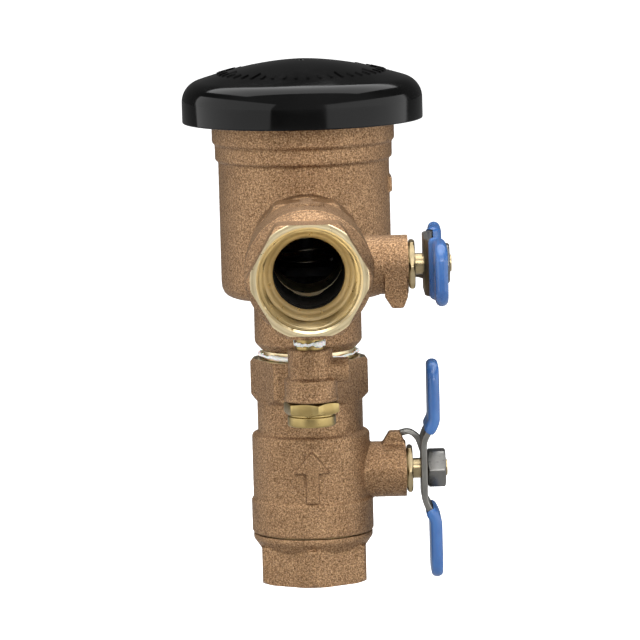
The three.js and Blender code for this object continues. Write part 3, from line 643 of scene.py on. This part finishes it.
def stop_lugs():
    outline = rounded([
        (LUG.start, 0), (LUG.end, 0), (LUG.end, STEM.boss_r), (LUG.top_end, LUG.reach, 1.0),
        (LUG.top_start, LUG.reach, 1.0), (LUG.start, STEM.boss_r),
    ])
    height = shift(z=VALVE.ball_z)
    return [
        prism(outline, LUG.back, LUG.face, height @ UPRIGHT),
        prism(outline, -STEM.boss_r, -LUG.low_face, height),
    ]


def flow_arrow(valve):
    """A raised arrow on the ball's chamber, pointing the way that the water goes."""
    a = ARROW
    low, high = a.low, a.high
    face_r = VALVE.chamber_r + a.proud
    neck = high - a.head
    half = [(a.half_shaft, low), (a.half_shaft, neck), (a.half_head, neck)]
    arrow = half + [(0, high)] + [(-x, z) for x, z in reversed(half)]
    if valve == "outlet":
        arrow = [(x, low + high - z) for x, z in arrow]
    mark = prism(arrow, -face_r - 5, -15, UPRIGHT)
    band = [(15, low - 1), (face_r, low - 1), (face_r, high + 1), (15, high + 1)]
    return trim(mark, turned(band))


def valve_body(valve, hex_turn):
    v = VALVE
    s = STEM
    shell = lathed([
        (v.barrel_r, v.seam + GAP, 0.9), (v.barrel_r, v.ridge, 0.8), (v.chamber_r, v.ridge + 0.7, 0.5),
        (v.chamber_r, v.shoulder + 1.6, 2.4), (v.neck_r, v.neck, 0.8), (v.neck_r, v.neck_end + 1),
    ])
    hexed = prism(hexagon(v.hex_flats, hex_turn), v.neck_end, v.length + 1)
    trim(hexed, stepped(
        v.neck_end, (v.body_hex, v.neck_r, v.hex_corner), (v.length + 1, v.hex_corner),
    ))
    height = shift(z=v.ball_z)
    boss = rod(s.boss_r, 0, s.boss_end + 0.4, DENSE, height @ ALONG_X)
    pad = rod(COCK.pad_r, 0, COCK.pad_end + 0.4, matrix=shift(z=v.tap) @ ALONG_Y)
    casting = merged(shell, hexed, boss, pad, *stop_lugs(), flow_arrow(valve))
    roughened(melted(casting, 0.36, 2), 0.06, 0.8)
    faced = stepped(
        v.seam + GAP - 2, (v.body_hex, CLEAR), (v.length - v.corner_cut - 0.3, v.hex_corner + 0.6),
        (v.length, v.hex_corner + 0.6, v.hex_face),
    )
    reach = block((-CLEAR, s.boss_end), (-CLEAR, COCK.pad_end), (0, v.length + 5))
    trim(casting, faced, reach)
    way = stepped(
        v.seam - 1, (v.join_end, v.join_r), (v.ball_z + v.seat_front, v.cavity_r),
        (v.ball_z + v.seat_back, v.pocket_r), (v.length - v.cone + 1, v.port),
    )
    stem_bore = stepped(
        0, (s.collar_end + GAP, s.collar_r + GAP), (s.shaft_end + GAP, s.shaft_r + GAP),
        (s.boss_end - 0.8, s.pack_r), (s.boss_end, s.pack_r, s.pack_r + 0.8),
        (s.boss_end + 1, s.pack_r + 0.8), segments=SMALL, matrix=height @ ALONG_X,
    )
    tap = threaded(10, COCK.pad_end + 1, COCK.tap_r + 0.25, 0.5, COCK_PITCH,
                   matrix=shift(z=v.tap) @ ALONG_Y)
    cut(casting, way, *port_plug(v.length, -1), stem_bore, tap)

    def cut_metal(p, n):
        beside = math.hypot(p.y, p.z - v.ball_z)
        # The deep bore past the seats takes the third material, painted bore shade.
        if v.ball_z + v.seat_back < p.z < v.length - v.cone and off_axis(p) < v.port + 0.1:
            return 2
        inside = off_axis(p) < (v.join_r if p.z < v.join_end + 0.1 else v.cavity_r) + 0.05
        in_boss = p.x > v.join_r - 2 and beside < s.pack_r + 0.9
        in_tap = p.y > 15 and math.hypot(p.x, p.z - v.tap) < COCK.tap_r + 0.4
        end_face = p.z > v.length - v.corner_cut and n.z > 0.93
        boss_face = p.x > s.boss_end - 0.05 and n.x > 0.9
        pad_face = p.y > COCK.pad_end - 0.05 and n.y > 0.9
        return inside or in_boss or in_tap or end_face or boss_face or pad_face

    paint(casting, BRONZE, BRASS[valve], BORE_SHADE, where=cut_metal)
    stand_in(casting, valve + "_valve_body", valve_place(valve))


def tailpiece(valve, hex_turn):
    v = VALVE
    hexed = prism(hexagon(v.hex_flats, hex_turn), -2, v.tail_hex + 1)
    trim(hexed, rod(v.hex_corner, -2, v.tail_hex + 1, DENSE))
    collar = lathed([
        (v.neck_r + 0.2, v.tail_hex), (v.ring_r, v.tail_ring, 0.5), (v.ring_r, v.seam, 0.4),
        (v.join_r - GAP, v.seam),
    ])
    casting = roughened(melted(merged(hexed, collar), 0.36, 2), 0.05, 0.8)
    faced = lathed([
        (v.hex_face, 0, 1.2), (v.hex_corner + 0.6, v.corner_cut + 0.3), (CLEAR, v.corner_cut + 0.3),
        (CLEAR, v.seam),
    ])
    trim(casting, faced)
    sleeve = lathed([
        (v.join_r - GAP, v.seam - 1.5), (v.join_r - GAP, v.join_end - GAP, 0.3),
        (v.cavity_r - GAP, v.join_end - GAP), (v.cavity_r - GAP, v.ball_z - v.seat_front - GAP, 0.3),
    ])
    join(casting, sleeve)
    way = stepped(v.cone - 1, (v.ball_z - v.seat_back, v.port), (v.ball_z, v.pocket_r))
    cut(casting, *port_plug(0, 1), way)

    def cut_metal(p, n):
        # The bore beyond the cone takes the third material, painted bore shade.
        if p.z > v.cone - 0.05 and off_axis(p) < v.port + 0.1:
            return 2
        end_face = p.z < v.corner_cut + 0.3 and n.z < -0.93
        socket = p.z < v.cone and off_axis(p) < v.mouth + 0.6
        return end_face or socket or p.z > v.seam - 0.05

    paint(casting, BRONZE, BRASS[valve], BORE_SHADE, where=cut_metal)
    stand_in(casting, valve + "_valve_tailpiece", valve_place(valve))


def ball(r, port, segments):
    """A bored ball along Z, its faces relieved where the bore breaks out."""
    edge = math.asin(port / r)
    arc = [(r * math.sin(a), r * math.cos(a)) for a in spread(edge, math.pi - edge, 28)]
    lip = arc[0][1] - 0.4
    return turned([(port - 0.2, lip), *arc, (port - 0.2, -lip)], segments)


def valve_ball(valve):
    v = VALVE
    made = ball(v.ball_r, v.port, DENSE)
    slot = block((v.slot_x, v.ball_r + 1), (-v.slot / 2, v.slot / 2), (-v.ball_r, v.ball_r))
    cut(made, slot)
    # The ball's bore takes painted bore shade in place of chrome.
    paint(made, CHROME, BORE_SHADE, where=lambda p, n: off_axis(p) < v.port)
    stand_in(made, valve + "_valve_ball", ball_place(valve))


def seat_ring(r, inner, outer, front, back):
    """A seat whose face follows a ball of radius r."""
    face = [(x, max(front, math.sqrt((r + 1.5 * GAP) ** 2 - x * x))) for x in spread(inner, outer, 8)]
    return turned([*face, (outer, back, 0.3), (inner, back, 0.3)], DENSE)


def seat_pair(nodes, look, place, *sizes):
    """Two seats with the ball between them, the one beyond it along Z first."""
    for node, end in zip(nodes, (0, math.pi)):
        stand_in(paint(seat_ring(*sizes), look), node, place @ Matrix.Rotation(end, 4, "X"))


def valve_seats(valve):
    v = VALVE
    nodes = [f"{valve}_valve_seat_{side}_side" for side in ("body", "tail")]
    # The seats take the near-black PTFE, painted shade for the bore they sit in.
    seat_pair(nodes, BORE_SHADE_PTFE, ball_place(valve), v.ball_r, v.port + GAP, v.pocket_r - GAP,
              v.seat_front + GAP, v.seat_back - GAP)


def valve_stem(valve):
    s = STEM
    spindle = lathed([
        (s.collar_r, s.collar_x, 0.3), (s.collar_r, s.collar_end, 0.3), (s.shaft_r, s.collar_end),
        (s.shaft_r, s.shaft_end), (s.spindle_r, s.shaft_end), (s.spindle_r, s.flat_to),
    ], SMALL, ALONG_X)
    tang = block((s.tang_x, s.collar_x + 0.5), (-s.tang_thick / 2, s.tang_thick / 2),
                 (-s.tang_long / 2, s.tang_long / 2))
    join(spindle, tang)
    for side in (-1, 1):
        near, far = sorted((side * s.flat, side * 2 * s.flat))
        cut(spindle, block((s.flat_from, s.flat_to + 1), (near, far), (-5, 5)))
    screw = threaded(s.flat_to - 0.2, s.end - 0.5, s.screw_r, 0.55, NUT_PITCH, matrix=ALONG_X)
    tip_r = s.screw_r - 0.6
    tip = lathed([(tip_r, s.end - 0.9), (tip_r, s.end, 0.3)], SMALL, ALONG_X)
    join(spindle, screw, tip)
    paint(spindle, STEM_BRASS[valve])
    stand_in(spindle, valve + "_valve_stem", ball_place(valve))


def packing(valve):
    s = STEM
    ring = turned([
        (s.spindle_r + GAP, s.shaft_end + 2 * GAP, 0.3), (s.pack_r - GAP, s.shaft_end + 2 * GAP, 0.3),
        (s.pack_r - GAP, s.pack_end, 0.3), (s.spindle_r + GAP, s.pack_end, 0.3),
    ], SMALL, ALONG_X)
    stand_in(paint(ring, PTFE), valve + "_valve_packing", ball_place(valve))


def nut_blank(flats, low, high, turn):
    """A hexagon along Z with its corners turned off at both ends."""
    corner = flats / math.sqrt(3) + 0.05
    inner = flats / 2 - 0.1
    drop = (corner - inner) * 0.45
    blank = prism(hexagon(flats, turn), low, high)
    envelope = stepped(
        low, (low + drop, inner, corner), (high - drop, corner), (high, corner, inner),
        segments=96,
    )
    return bevelled(trim(blank, envelope), 0.12, 2, 50)


def gland_nut(valve, turn):
    s = STEM
    head = nut_blank(s.gland_flats, s.boss_end + GAP, s.gland_end, turn)
    screw = threaded(s.pack_end + GAP, s.boss_end + 0.6, s.gland_r, 0.5, NUT_PITCH)
    join(head, screw)
    near, wide = s.spindle_r + GAP, s.spindle_r + 0.8
    bore = stepped(
        s.pack_end, (s.gland_end - 0.5, near), (s.gland_end, near, wide), (s.gland_end + 1, wide),
        segments=SMALL,
    )
    cut(head, bore)
    head.data.transform(ALONG_X)
    paint(head, STEM_BRASS[valve])
    stand_in(head, valve + "_valve_gland_nut", ball_place(valve))


def arm_x(z):
    """How far along the stem the handle's middle layer lies at a height z from the stem's axis."""
    h = HANDLE
    t = min(max((abs(z) - h.bend_from) / (h.bend_to - h.bend_from), 0.0), 1.0)
    return h.plate_x + (h.arm_x - h.plate_x) * t * t * (3 - 2 * t)


def half_width(z, width, reach, corner):
    """Half of a paddle's width at a height z, with rounded corners at its end."""
    over = abs(z) - (reach - corner)
    if over <= 0:
        return width / 2
    return width / 2 - corner + math.sqrt(max(corner**2 - over**2, 0.0))


def slab(z, width, thick, corner):
    """A loop of points round the handle at a height z: a flat bar with its edges rounded."""
    slope = (arm_x(z + 0.05) - arm_x(z - 0.05)) / 0.1
    centre = Vector((arm_x(z), 0, z))
    out = Vector((1, 0, -slope)).normalized()
    across = Vector((0, 1, 0))
    points = []
    for turn, (sx, sy) in enumerate(((1, 1), (-1, 1), (-1, -1), (1, -1))):
        for bend in spread(0, 90, 4):
            angle = math.radians(90 * turn + bend)
            x = sx * (thick / 2 - corner) + corner * math.cos(angle)
            y = sy * (width - corner) + corner * math.sin(angle)
            points.append(centre + out * x + across * y)
    return points


def handle(valve):
    h = HANDLE
    sections = []
    for angle in spread(0, math.pi, 90):
        z = -h.reach * math.cos(angle)
        sections.append(slab(z, half_width(z, h.width, h.reach, h.corner), h.thick, 0.45))
    strap = loft(sections)
    line = rounded([
        (h.plate_x + 0.2, 5.5), (h.plate_x - 0.6, 11.2, 4.0), (h.tab_end + 4.5, h.tab_r + 0.6, 5.0),
        (h.tab_end, h.tab_r - 0.6),
        (h.tab_end, h.tab_r - 0.6 - h.tab_thick), (h.tab_end + 4.8, h.tab_r + 0.6 - h.tab_thick, 4.0),
        (h.plate_x - 2.6, 9.8, 3.0), (h.plate_x - 1.2, 5.5),
    ])
    tab = bevelled(prism(line, h.tab_y, h.tab_y + h.tab_width, UPRIGHT), 0.3, 2)
    hole = rod(STEM.spindle_r + GAP, h.plate_x - 3, h.plate_x + 3, matrix=ALONG_X)
    flats = block((h.plate_x - 4, h.plate_x + 4), (-STEM.flat - GAP, STEM.flat + GAP), (-6, 6))
    trim(hole, flats)
    join(strap, tab)
    cut(strap, hole)
    stand_in(paint(strap, ZINC), valve + "_handle", ball_place(valve))


def grip(valve, letter, side):
    """One dipped sleeve, full and round at the edges; side is 1 or -1 along Z."""
    h = HANDLE

    def section(z, *size):
        return [Vector((p.x, p.y, side * p.z)) for p in slab(z, *size)]

    sections = []
    for angle in spread(0, math.pi, 44):
        z = h.grip_from + (h.grip_reach - h.grip_from) * (1 - math.cos(angle)) / 2
        near = min((z - h.grip_from) / 1.6, 1.0)
        end = min((h.grip_reach - z) / 2.0, 1.0)
        round_off = math.sqrt(max(1 - (1 - near) ** 2, 0.0)) * 0.45 + 0.55
        tip = math.sqrt(max(1 - (1 - end) ** 2, 0.0)) * 0.8 + 0.2
        thick = h.grip_thick * round_off * tip
        width = half_width(z, h.grip_width, h.grip_reach + 0.4, h.grip_corner) * (0.97 + 0.03 * near)
        sections.append(section(z, width, thick, 0.47 * thick))
    sleeve = roughened(loft(sections), 0.05, 5.0)
    pocket = []
    for z in spread(h.grip_from - 2, h.reach + GAP, 30):
        width = half_width(z, h.width, h.reach + GAP, h.corner) + GAP
        pocket.append(section(z, width, h.thick + 2 * GAP, 0.4))
    cut(sleeve, loft(pocket))
    stand_in(paint(sleeve, VINYL), f"{valve}_handle_grip_{letter}", ball_place(valve))


def handle_nut(valve, turn):
    h = HANDLE
    low = h.plate_x + h.thick / 2 + GAP
    high = low + h.nut_high
    blank = nut_blank(h.nut_flats, low, high, turn)
    bore = rod(STEM.spindle_r + 0.15, low - 1, high + 1)
    mouth = stepped(high - 0.7, (high + 0.3, STEM.spindle_r, STEM.spindle_r + 1))
    cut(blank, bore, mouth)
    blank.data.transform(ALONG_X)
    stand_in(paint(blank, ZINC_NUT), valve + "_handle_nut", ball_place(valve))


# Test cocks


def cock_body(cock, place):
    c = COCK
    shell = lathed([
        (c.upper_r, c.body_from, 0.8), (c.upper_r, c.step - 0.2, 0.5), (c.lower_r, c.step + 0.8, 0.6),
        (c.lower_r, c.body_end - 1.6), (c.bead_r, c.body_end - 1.2, 0.3), (c.bead_r, c.body_end, 0.5),
    ])
    height = shift(z=c.ball)
    boss = lathed([(c.boss_r, 0), (c.boss_r, c.boss_end, 0.6)], SMALL, height @ ALONG_X)
    casting = roughened(melted(merged(shell, boss), 0.24, 2), 0.04, 0.7)
    root = rod(c.root_r - 0.1, c.pad_end + 0.1, c.body_from + 0.8)
    screw = threaded(c.thread_from, c.body_from - 0.2, c.thread_r, 0.5, COCK_PITCH, 0.3)
    join(casting, root, screw)
    way = stepped(
        c.thread_from - 1, (c.ball - c.seat_back, c.bore_r), (c.cavity_from, c.pocket_r),
        (c.screw_from, c.cavity_r), (c.body_end + 1, c.screw_r + GAP), segments=SMALL,
    )
    near, wide = c.stem_r + GAP, c.stem_r + 0.7
    bore = stepped(
        0, (c.collar_to + GAP, c.collar_r + GAP), (c.boss_end - 0.4, near),
        (c.boss_end, near, wide), (c.boss_end + 1, wide), segments=SMALL, matrix=height @ ALONG_X,
    )
    cut(casting, way, bore)

    def cut_metal(p, n):
        beside = math.hypot(p.y, p.z - c.ball)
        in_boss = p.x > c.collar_r and beside < c.stem_r + 0.8
        return p.z < c.body_from - 0.05 or off_axis(p) < c.cavity_r + 0.05 or in_boss

    paint(casting, BRONZE, COCK_BRASS[cock], where=cut_metal)
    stand_in(casting, cock + "_body", place)


def cock_end(cock, place):
    c = COCK
    low = c.body_end + GAP
    head = nut_blank(c.hex_flats, low, c.hex_end, math.pi / 11)
    screw = threaded(c.screw_from + GAP, low + 0.4, c.screw_r, 0.5, COCK_PITCH)
    spout = lathed([
        (c.end_r - 0.5, c.hex_end - 1), (c.end_r - 0.5, c.hex_end + 0.5, 0.2),
        (c.end_r, c.hex_end + 0.9, 0.2), (c.end_r, c.end, 0.6),
    ])
    join(head, screw, spout)
    root_r = c.hose_r - 0.6
    way = stepped(
        c.screw_from, (c.ball + c.seat_back, c.pocket_r), (c.hose_from, c.bore_r),
        (c.hose_from + 0.8, c.bore_r, root_r), (c.hose_from + 3, root_r), segments=SMALL,
    )
    port = threaded(c.hose_from + 2, c.end - 0.3, c.hose_r, 0.5, 1.41)
    mouth = stepped(c.end - 1.2, (c.end, root_r, c.hose_r + 0.6), (c.end + 1, c.hose_r + 0.6),
                    segments=SMALL)
    cut(head, way, port, mouth)
    stand_in(paint(head, COCK_BRASS[cock]), cock + "_end_fitting", place)


def cock_insides(cock, place):
    c = COCK
    middle_of_ball = place @ shift(z=c.ball)
    plug = ball(c.ball_r, c.port_r, SMALL)
    plug.data.transform(ALONG_Y)
    slot = block((c.collar_from - 2, c.ball_r + 1), (-c.ball_r, c.ball_r), (-0.95, 0.95))
    cut(plug, slot)
    stand_in(paint(plug, CHROME), cock + "_ball", middle_of_ball)
    seat_pair((cock + "_outer_seat", cock + "_inner_seat"), PTFE, middle_of_ball, c.ball_r,
              c.bore_r + 0.2, c.pocket_r - GAP, c.ball - c.cavity_from + GAP, c.seat_back - GAP)
    stem = lathed([
        (c.collar_r, c.collar_from, 0.2), (c.collar_r, c.collar_to, 0.2), (c.stem_r, c.collar_to),
        (c.stem_r, c.stem_end, 0.3),
    ], SMALL, ALONG_X)
    tang = block((4.2, c.collar_from + 0.3), (-1.9, 1.9), (-0.65, 0.65))
    join(stem, tang)
    cut(stem, block((c.stem_end - 1.4, c.stem_end + 1), (-3, 3), (-0.5, 0.5)))
    stand_in(paint(stem, COCK_BRASS[cock]), cock + "_stem", middle_of_ball)


def tape_ring(node, root, bulge, low, high, lumps, place):
    """Sealing tape squeezed out beside a thread: a ragged collar of uneven thickness."""
    sections = []
    for angle in spread(0, 2 * math.pi, 180)[:-1]:
        spot = Vector(polar(1, angle, lumps))
        wave = 0.25 + 1.3 * noise.noise(spot * 1.7)
        fine = 0.25 * noise.noise(spot * 9.0)
        proud = bulge * min(max(wave + fine, 0.08), 1.0)
        lean = 0.18 * (high - low) * noise.noise(spot * 4.0)
        loop = []
        for a in spread(0, 2 * math.pi, 14)[:-1]:
            r = root + GAP + proud * (0.5 + 0.5 * math.cos(a))
            z = (low + high) / 2 + lean + 0.5 * (high - low) * (0.25 + 0.5 * proud / bulge) * math.sin(a)
            loop.append(polar(r, angle, z))
        sections.append(loop)
    ring = loft(sections, ring=True)
    stand_in(paint(ring, PTFE), node, place, crisp=60)


# Body, canopy and inner works


def main_body():
    b = BODY
    shell = lathed([
        (b.root_r, b.flare_from), (b.neck_r, b.flare_to, 0.8), (b.neck_r, b.floor_out, 1.6),
        (b.barrel_r, b.floor_out, b.corner), (b.barrel_r, b.ring_from), (b.ring_r, b.ring_from + 0.7, 0.5),
        (b.ring_r, b.rim_from, 0.4), (b.rim_r, b.rim_from + 0.7, 0.5), (b.rim_r, b.top, 0.6),
    ])
    branch = lathed([(b.branch_r, 0), (b.branch_r, b.flare - 1.4, 0.5), (b.root_r, b.flare)],
                    matrix=BRANCH)
    seam_r = b.barrel_r + 0.28
    seam = block((-0.35, 0.35), (-seam_r, seam_r), (b.floor_out + 5, b.ring_from))
    pads = [
        block((26, b.barrel_r + 0.75), (y - 1, y + 1), (b.pad_from, b.pad_to))
        for y in (-5.5, -2.5, 0.5)
    ]
    casting = roughened(melted(merged(shell, branch, seam, *pads), 0.45, 2), 0.07, 0.9)
    screws = [
        threaded(b.nipple_from, VALVE.length + 0.6, b.nipple_r - 0.4, 0.9, PIPE_PITCH, 0.4),
        rod(b.root_r - 0.25, VALVE.length, b.flare_from + 1, DENSE),
        threaded(b.flare - 1, b.nipple_end, b.nipple_r, 0.9, PIPE_PITCH, -0.4, matrix=BRANCH),
        rod(b.root_r - 0.25, b.flare - 2, b.branch_end + 0.2, DENSE, BRANCH),
    ]
    join(casting, *screws)
    inside = lathed([
        (b.bore_r, b.nipple_from - 1), (b.bore_r, b.seat_top), (b.seat_r, b.seat_top),
        (b.seat_r + 0.8, b.floor, 0.6), (b.floor_r, b.floor), (b.chamber_r, b.floor + 2.5),
        (b.chamber_r, b.thread_from), (b.thread_r, b.thread_from), (b.thread_r, b.top + 1),
    ])
    outlet = rod(b.bore_r, 0, b.nipple_end + 1, DENSE, BRANCH)
    cut(casting, inside, outlet)
    axis_z = middle("outlet_valve_tailpiece").z / MM

    def cut_metal(p, n):
        neck = p.z < b.flare_from + 0.2
        out = p.y < -b.flare - 0.1
        bored = off_axis(p) < b.bore_r + 0.1
        branch_bored = p.y < -b.chamber_r and math.hypot(p.x, p.z - axis_z) < b.bore_r + 0.1
        seat = b.floor - 0.1 < p.z < b.floor + 3 and off_axis(p) < b.floor_r
        thread = p.z > b.thread_from - 0.1 and off_axis(p) < b.thread_r + 0.1
        return neck or out or bored or branch_bored or seat or thread

    paint(casting, BRONZE, INLET_BRASS, where=cut_metal)
    stand_in(casting, "main_body")


def dome(inset):
    """The canopy's outline from its rim to its apex, inset by a wall's thickness for the inside."""
    c = COVER
    rim = c.rim_r - inset
    radius = c.shoulder_r - 0.6 * inset
    middle_r = rim - c.shoulder_r
    points = []
    for degrees in spread(0, 72, 14):
        angle = math.radians(degrees)
        points.append((middle_r + radius * math.cos(angle), c.shoulder_z + radius * math.sin(angle)))
    crown_r, crown_z = points[-1]
    apex = c.apex - inset
    for t in spread(0, 1, 26)[1:-1]:
        points.append((crown_r * (1 - t), apex - (apex - crown_z) * (1 - t) ** 1.75))
    return [(rim, c.rim_z), *points, (0, apex)]


def dome_height(r):
    """Height of the canopy's outer skin at a radius."""
    points = dome(0)
    for (r1, z1), (r2, z2) in zip(points, points[1:]):
        if r2 <= r <= r1:
            return z1 + (z2 - z1) * (r1 - r) / max(r1 - r2, 1e-6)
    return COVER.apex


def canopy():
    c = COVER
    shell = turned([(0, c.rim_z), (c.rim_r, c.rim_z, 0.5), *dome(0)[1:]], 176)
    inside = turned([(0, c.rim_z - 1), (c.rim_r - c.wall, c.rim_z - 1), *dome(c.wall)[1:]], 176)
    cut(shell, inside)
    marks = []
    outer = c.mark_r
    for i in range(c.marks):
        length = c.mark_short if i % 4 else c.mark_long
        inner = outer - length
        rise = dome_height(inner) - dome_height(outer)
        slope = math.atan2(rise, outer - inner)
        centre = ((inner + outer) / 2, 0, (dome_height(inner) + dome_height(outer)) / 2 + 0.1)
        ends = ((-1, -1), (1, -1), (1, 1), (-1, 1))
        outline = rounded([(x * length / 2, y * c.mark_half, 0.5) for x, y in ends])
        place = Matrix.Rotation(2 * math.pi * (i + 0.5) / c.marks, 4, "Z") @ shift(*centre)
        marks.append(prism(outline, -0.6, 0.35, place @ Matrix.Rotation(slope, 4, "Y")))
    join(shell, merged(*marks))
    post = rod(c.post_r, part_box("canopy_screw")[0].z / MM + 10.6, c.apex - 1.4)
    ribs = [
        block((-c.rib_r, c.rib_r), (-0.8, 0.8), (c.apex - 7.5, c.apex - 4.4),
              Matrix.Rotation(k * math.pi / 3, 4, "Z"))
        for k in range(3)
    ]
    join(shell, post, *ribs)
    screw_hole = rod(2.2, 170, c.apex + 1)
    recess = stepped(c.apex - 2.6, (c.apex - 0.5, c.head_r + GAP),
                     (c.apex + 1, c.head_r + GAP, c.head_r + 0.9), segments=SMALL)
    cut(shell, screw_hole, recess)
    stand_in(paint(shell, GLOSS_BLACK), "canopy", crisp=38)


def canopy_screw():
    head = COVER.apex - 2.3
    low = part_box("canopy_screw")[0].z / MM
    shank = threaded(low, head - 6, 1.9, 0.3, 0.8)
    neck = rod(1.7, head - 6.2, head + 0.5)
    r = COVER.head_r
    cap = turned([(0, head), (r, head, 0.2), (r, head + 1.3, 0.9), (0, head + 2.1)], SMALL)
    join(shank, neck, cap)
    slots = [
        block((-2.2, 2.2), (-0.4, 0.4), (head + 0.9, head + 3), Matrix.Rotation(turn, 4, "Z"))
        for turn in (0, math.pi / 2)
    ]
    cut(shank, *slots)
    stand_in(paint(shank, STAINLESS), "canopy_screw")


def spring(node, radius, turns):
    """A coil spring that fills the height of its CAD node's box."""
    low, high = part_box(node)
    coil = helix(radius, low.z / MM, high.z / MM, turns, 0.6)
    stand_in(paint(coil, STAINLESS), node)
    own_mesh(coil)


def kept_nodes():
    """The inner pieces whose CAD shape is shown get their materials."""
    looks = (
        (GREY_PLASTIC, ("bonnet", "guide_cage", "air_poppet", "check_holder")),
        (RUBBER, ("bonnet_o_ring", "air_poppet_seal", "check_seal")),
        (STAINLESS, ("check_washer", "check_screw")),
    )
    for look, nodes in looks:
        for node in nodes:
            smooth(paint(frame["nodes"][node], look))


def build_valve(valve, turns):
    valve_body(valve, turns["body"])
    tailpiece(valve, turns["tail"])
    valve_ball(valve)
    valve_seats(valve)
    valve_stem(valve)
    packing(valve)
    gland_nut(valve, turns["gland"])
    handle(valve)
    grip(valve, "a", 1)
    grip(valve, "b", -1)
    handle_nut(valve, turns["nut"])


def build_cock(cock, valve, lumps):
    c = COCK
    place = cock_place(valve)
    cock_body(cock, place)
    cock_end(cock, place)
    cock_insides(cock, place)
    tape_ring(cock + "_thread_tape", c.root_r, 1.5, c.pad_end + GAP, c.body_from - GAP, lumps, place)


# Studio


def aimed(data, target, azimuth, elevation, distance, roll=0.0):
    """Points a lamp or camera at a target; azimuth 0 is the outlet's side and 90 is to the right of it."""
    a = math.radians(azimuth)
    e = math.radians(elevation)
    back = Vector((math.sin(a) * math.cos(e), -math.cos(a) * math.cos(e), math.sin(e)))
    made = linked(data)
    made.location = Vector(target) + back * distance
    turn = (-back).to_track_quat("-Z", "Y") @ Quaternion((0, 0, 1), math.radians(roll))
    made.rotation_euler = turn.to_euler()
    return made


def lamp(name, size, power, azimuth, elevation, distance=1.0):
    """A soft box aimed at the middle of the part."""
    light = bpy.data.lights.new(name, "AREA")
    light.shape = "RECTANGLE"
    light.size, light.size_y = size
    light.energy = power
    return aimed(light, (0, -0.02, 0.1), azimuth, elevation, distance)


def studio():
    floor = block((-6000, 6000), (-6000, 6000), (-150, -140))
    floor.name = "floor"
    paint(floor, floor_paint())
    lamp("left_box", (2.1, 0.9), 9, -76, 12)
    lamp("right_box", (2.2, 0.9), 11, 70, 2)
    lamp("back_top_box", (1.6, 1.0), 14, 180, 72)
    front_fill = lamp("front_fill", (0.9, 0.6), 10.5, 6, 27, 1.4)
    top_fill = lamp("top_fill", (0.7, 0.5), 4.5, 0, 72, 0.9)
    spared = bpy.data.collections.new("spared_by_the_fills")
    spared.objects.link(bpy.data.objects["canopy_fine"])
    for fill in (front_fill, top_fill):
        fill.light_linking.receiver_collection = spared
    for entry in spared.collection_objects:
        entry.light_linking.link_state = "EXCLUDE"
    world = bpy.data.worlds.new("studio")
    bpy.context.scene.world = world
    world.use_nodes = True
    tree = world.node_tree
    generated = new_node(tree, "ShaderNodeTexCoord").outputs["Generated"]
    toward = new_node(tree, "ShaderNodeSeparateXYZ", Vector=generated)
    strength = new_node(tree, "ShaderNodeMapRange", Value=toward.outputs["Y"], From_Min=-0.5,
                        From_Max=0.4, To_Min=0.5, To_Max=0.08)
    strength.interpolation_type = "SMOOTHSTEP"
    light = tree.nodes["Background"]
    feed(tree, light.inputs["Color"], grey(1.0))
    feed(tree, light.inputs["Strength"], strength.outputs["Result"])
    seen = new_node(tree, "ShaderNodeBackground", Color=grey(1.0))
    ray = new_node(tree, "ShaderNodeLightPath")
    mix = new_node(tree, "ShaderNodeMixShader", Fac=ray.outputs["Is Camera Ray"])
    feed(tree, mix.inputs[1], light.outputs["Background"])
    feed(tree, mix.inputs[2], seen.outputs["Background"])
    feed(tree, tree.nodes["World Output"].inputs["Surface"], mix.outputs["Shader"])
    bpy.context.scene.view_settings.view_transform = "Standard"


def camera():
    """A long lens from a little above the outlet's end, leaning slightly."""
    c = CAMERA
    data = bpy.data.cameras.new("camera")
    data.sensor_width = 36
    data.lens = c.lens
    data.clip_start = 0.1
    data.clip_end = 100
    bpy.context.scene.camera = aimed(data, c.aim, c.azimuth, c.elevation, c.distance, c.roll)


# Build

main_body()
build_valve("inlet", {"body": -0.1, "tail": math.pi / 6, "gland": 0, "nut": 0})
build_valve("outlet", {"body": 0, "tail": 0, "gland": math.pi / 6, "nut": math.pi / 6})
build_cock("test_cock_1", "inlet", 3.1)
build_cock("test_cock_2", "outlet", 7.7)
tape_ring("inlet_thread_tape", BODY.root_r, 2.0, VALVE.length + GAP, BODY.flare_from - GAP, 1.3, shift())
tape_ring("outlet_thread_tape", BODY.root_r, 2.0, BODY.flare + GAP, BODY.branch_end, 5.2, BRANCH)
canopy()
canopy_screw()
spring("check_spring", 9.0, 6)
spring("air_poppet_spring", 8.6, 4)
kept_nodes()
studio()
camera()
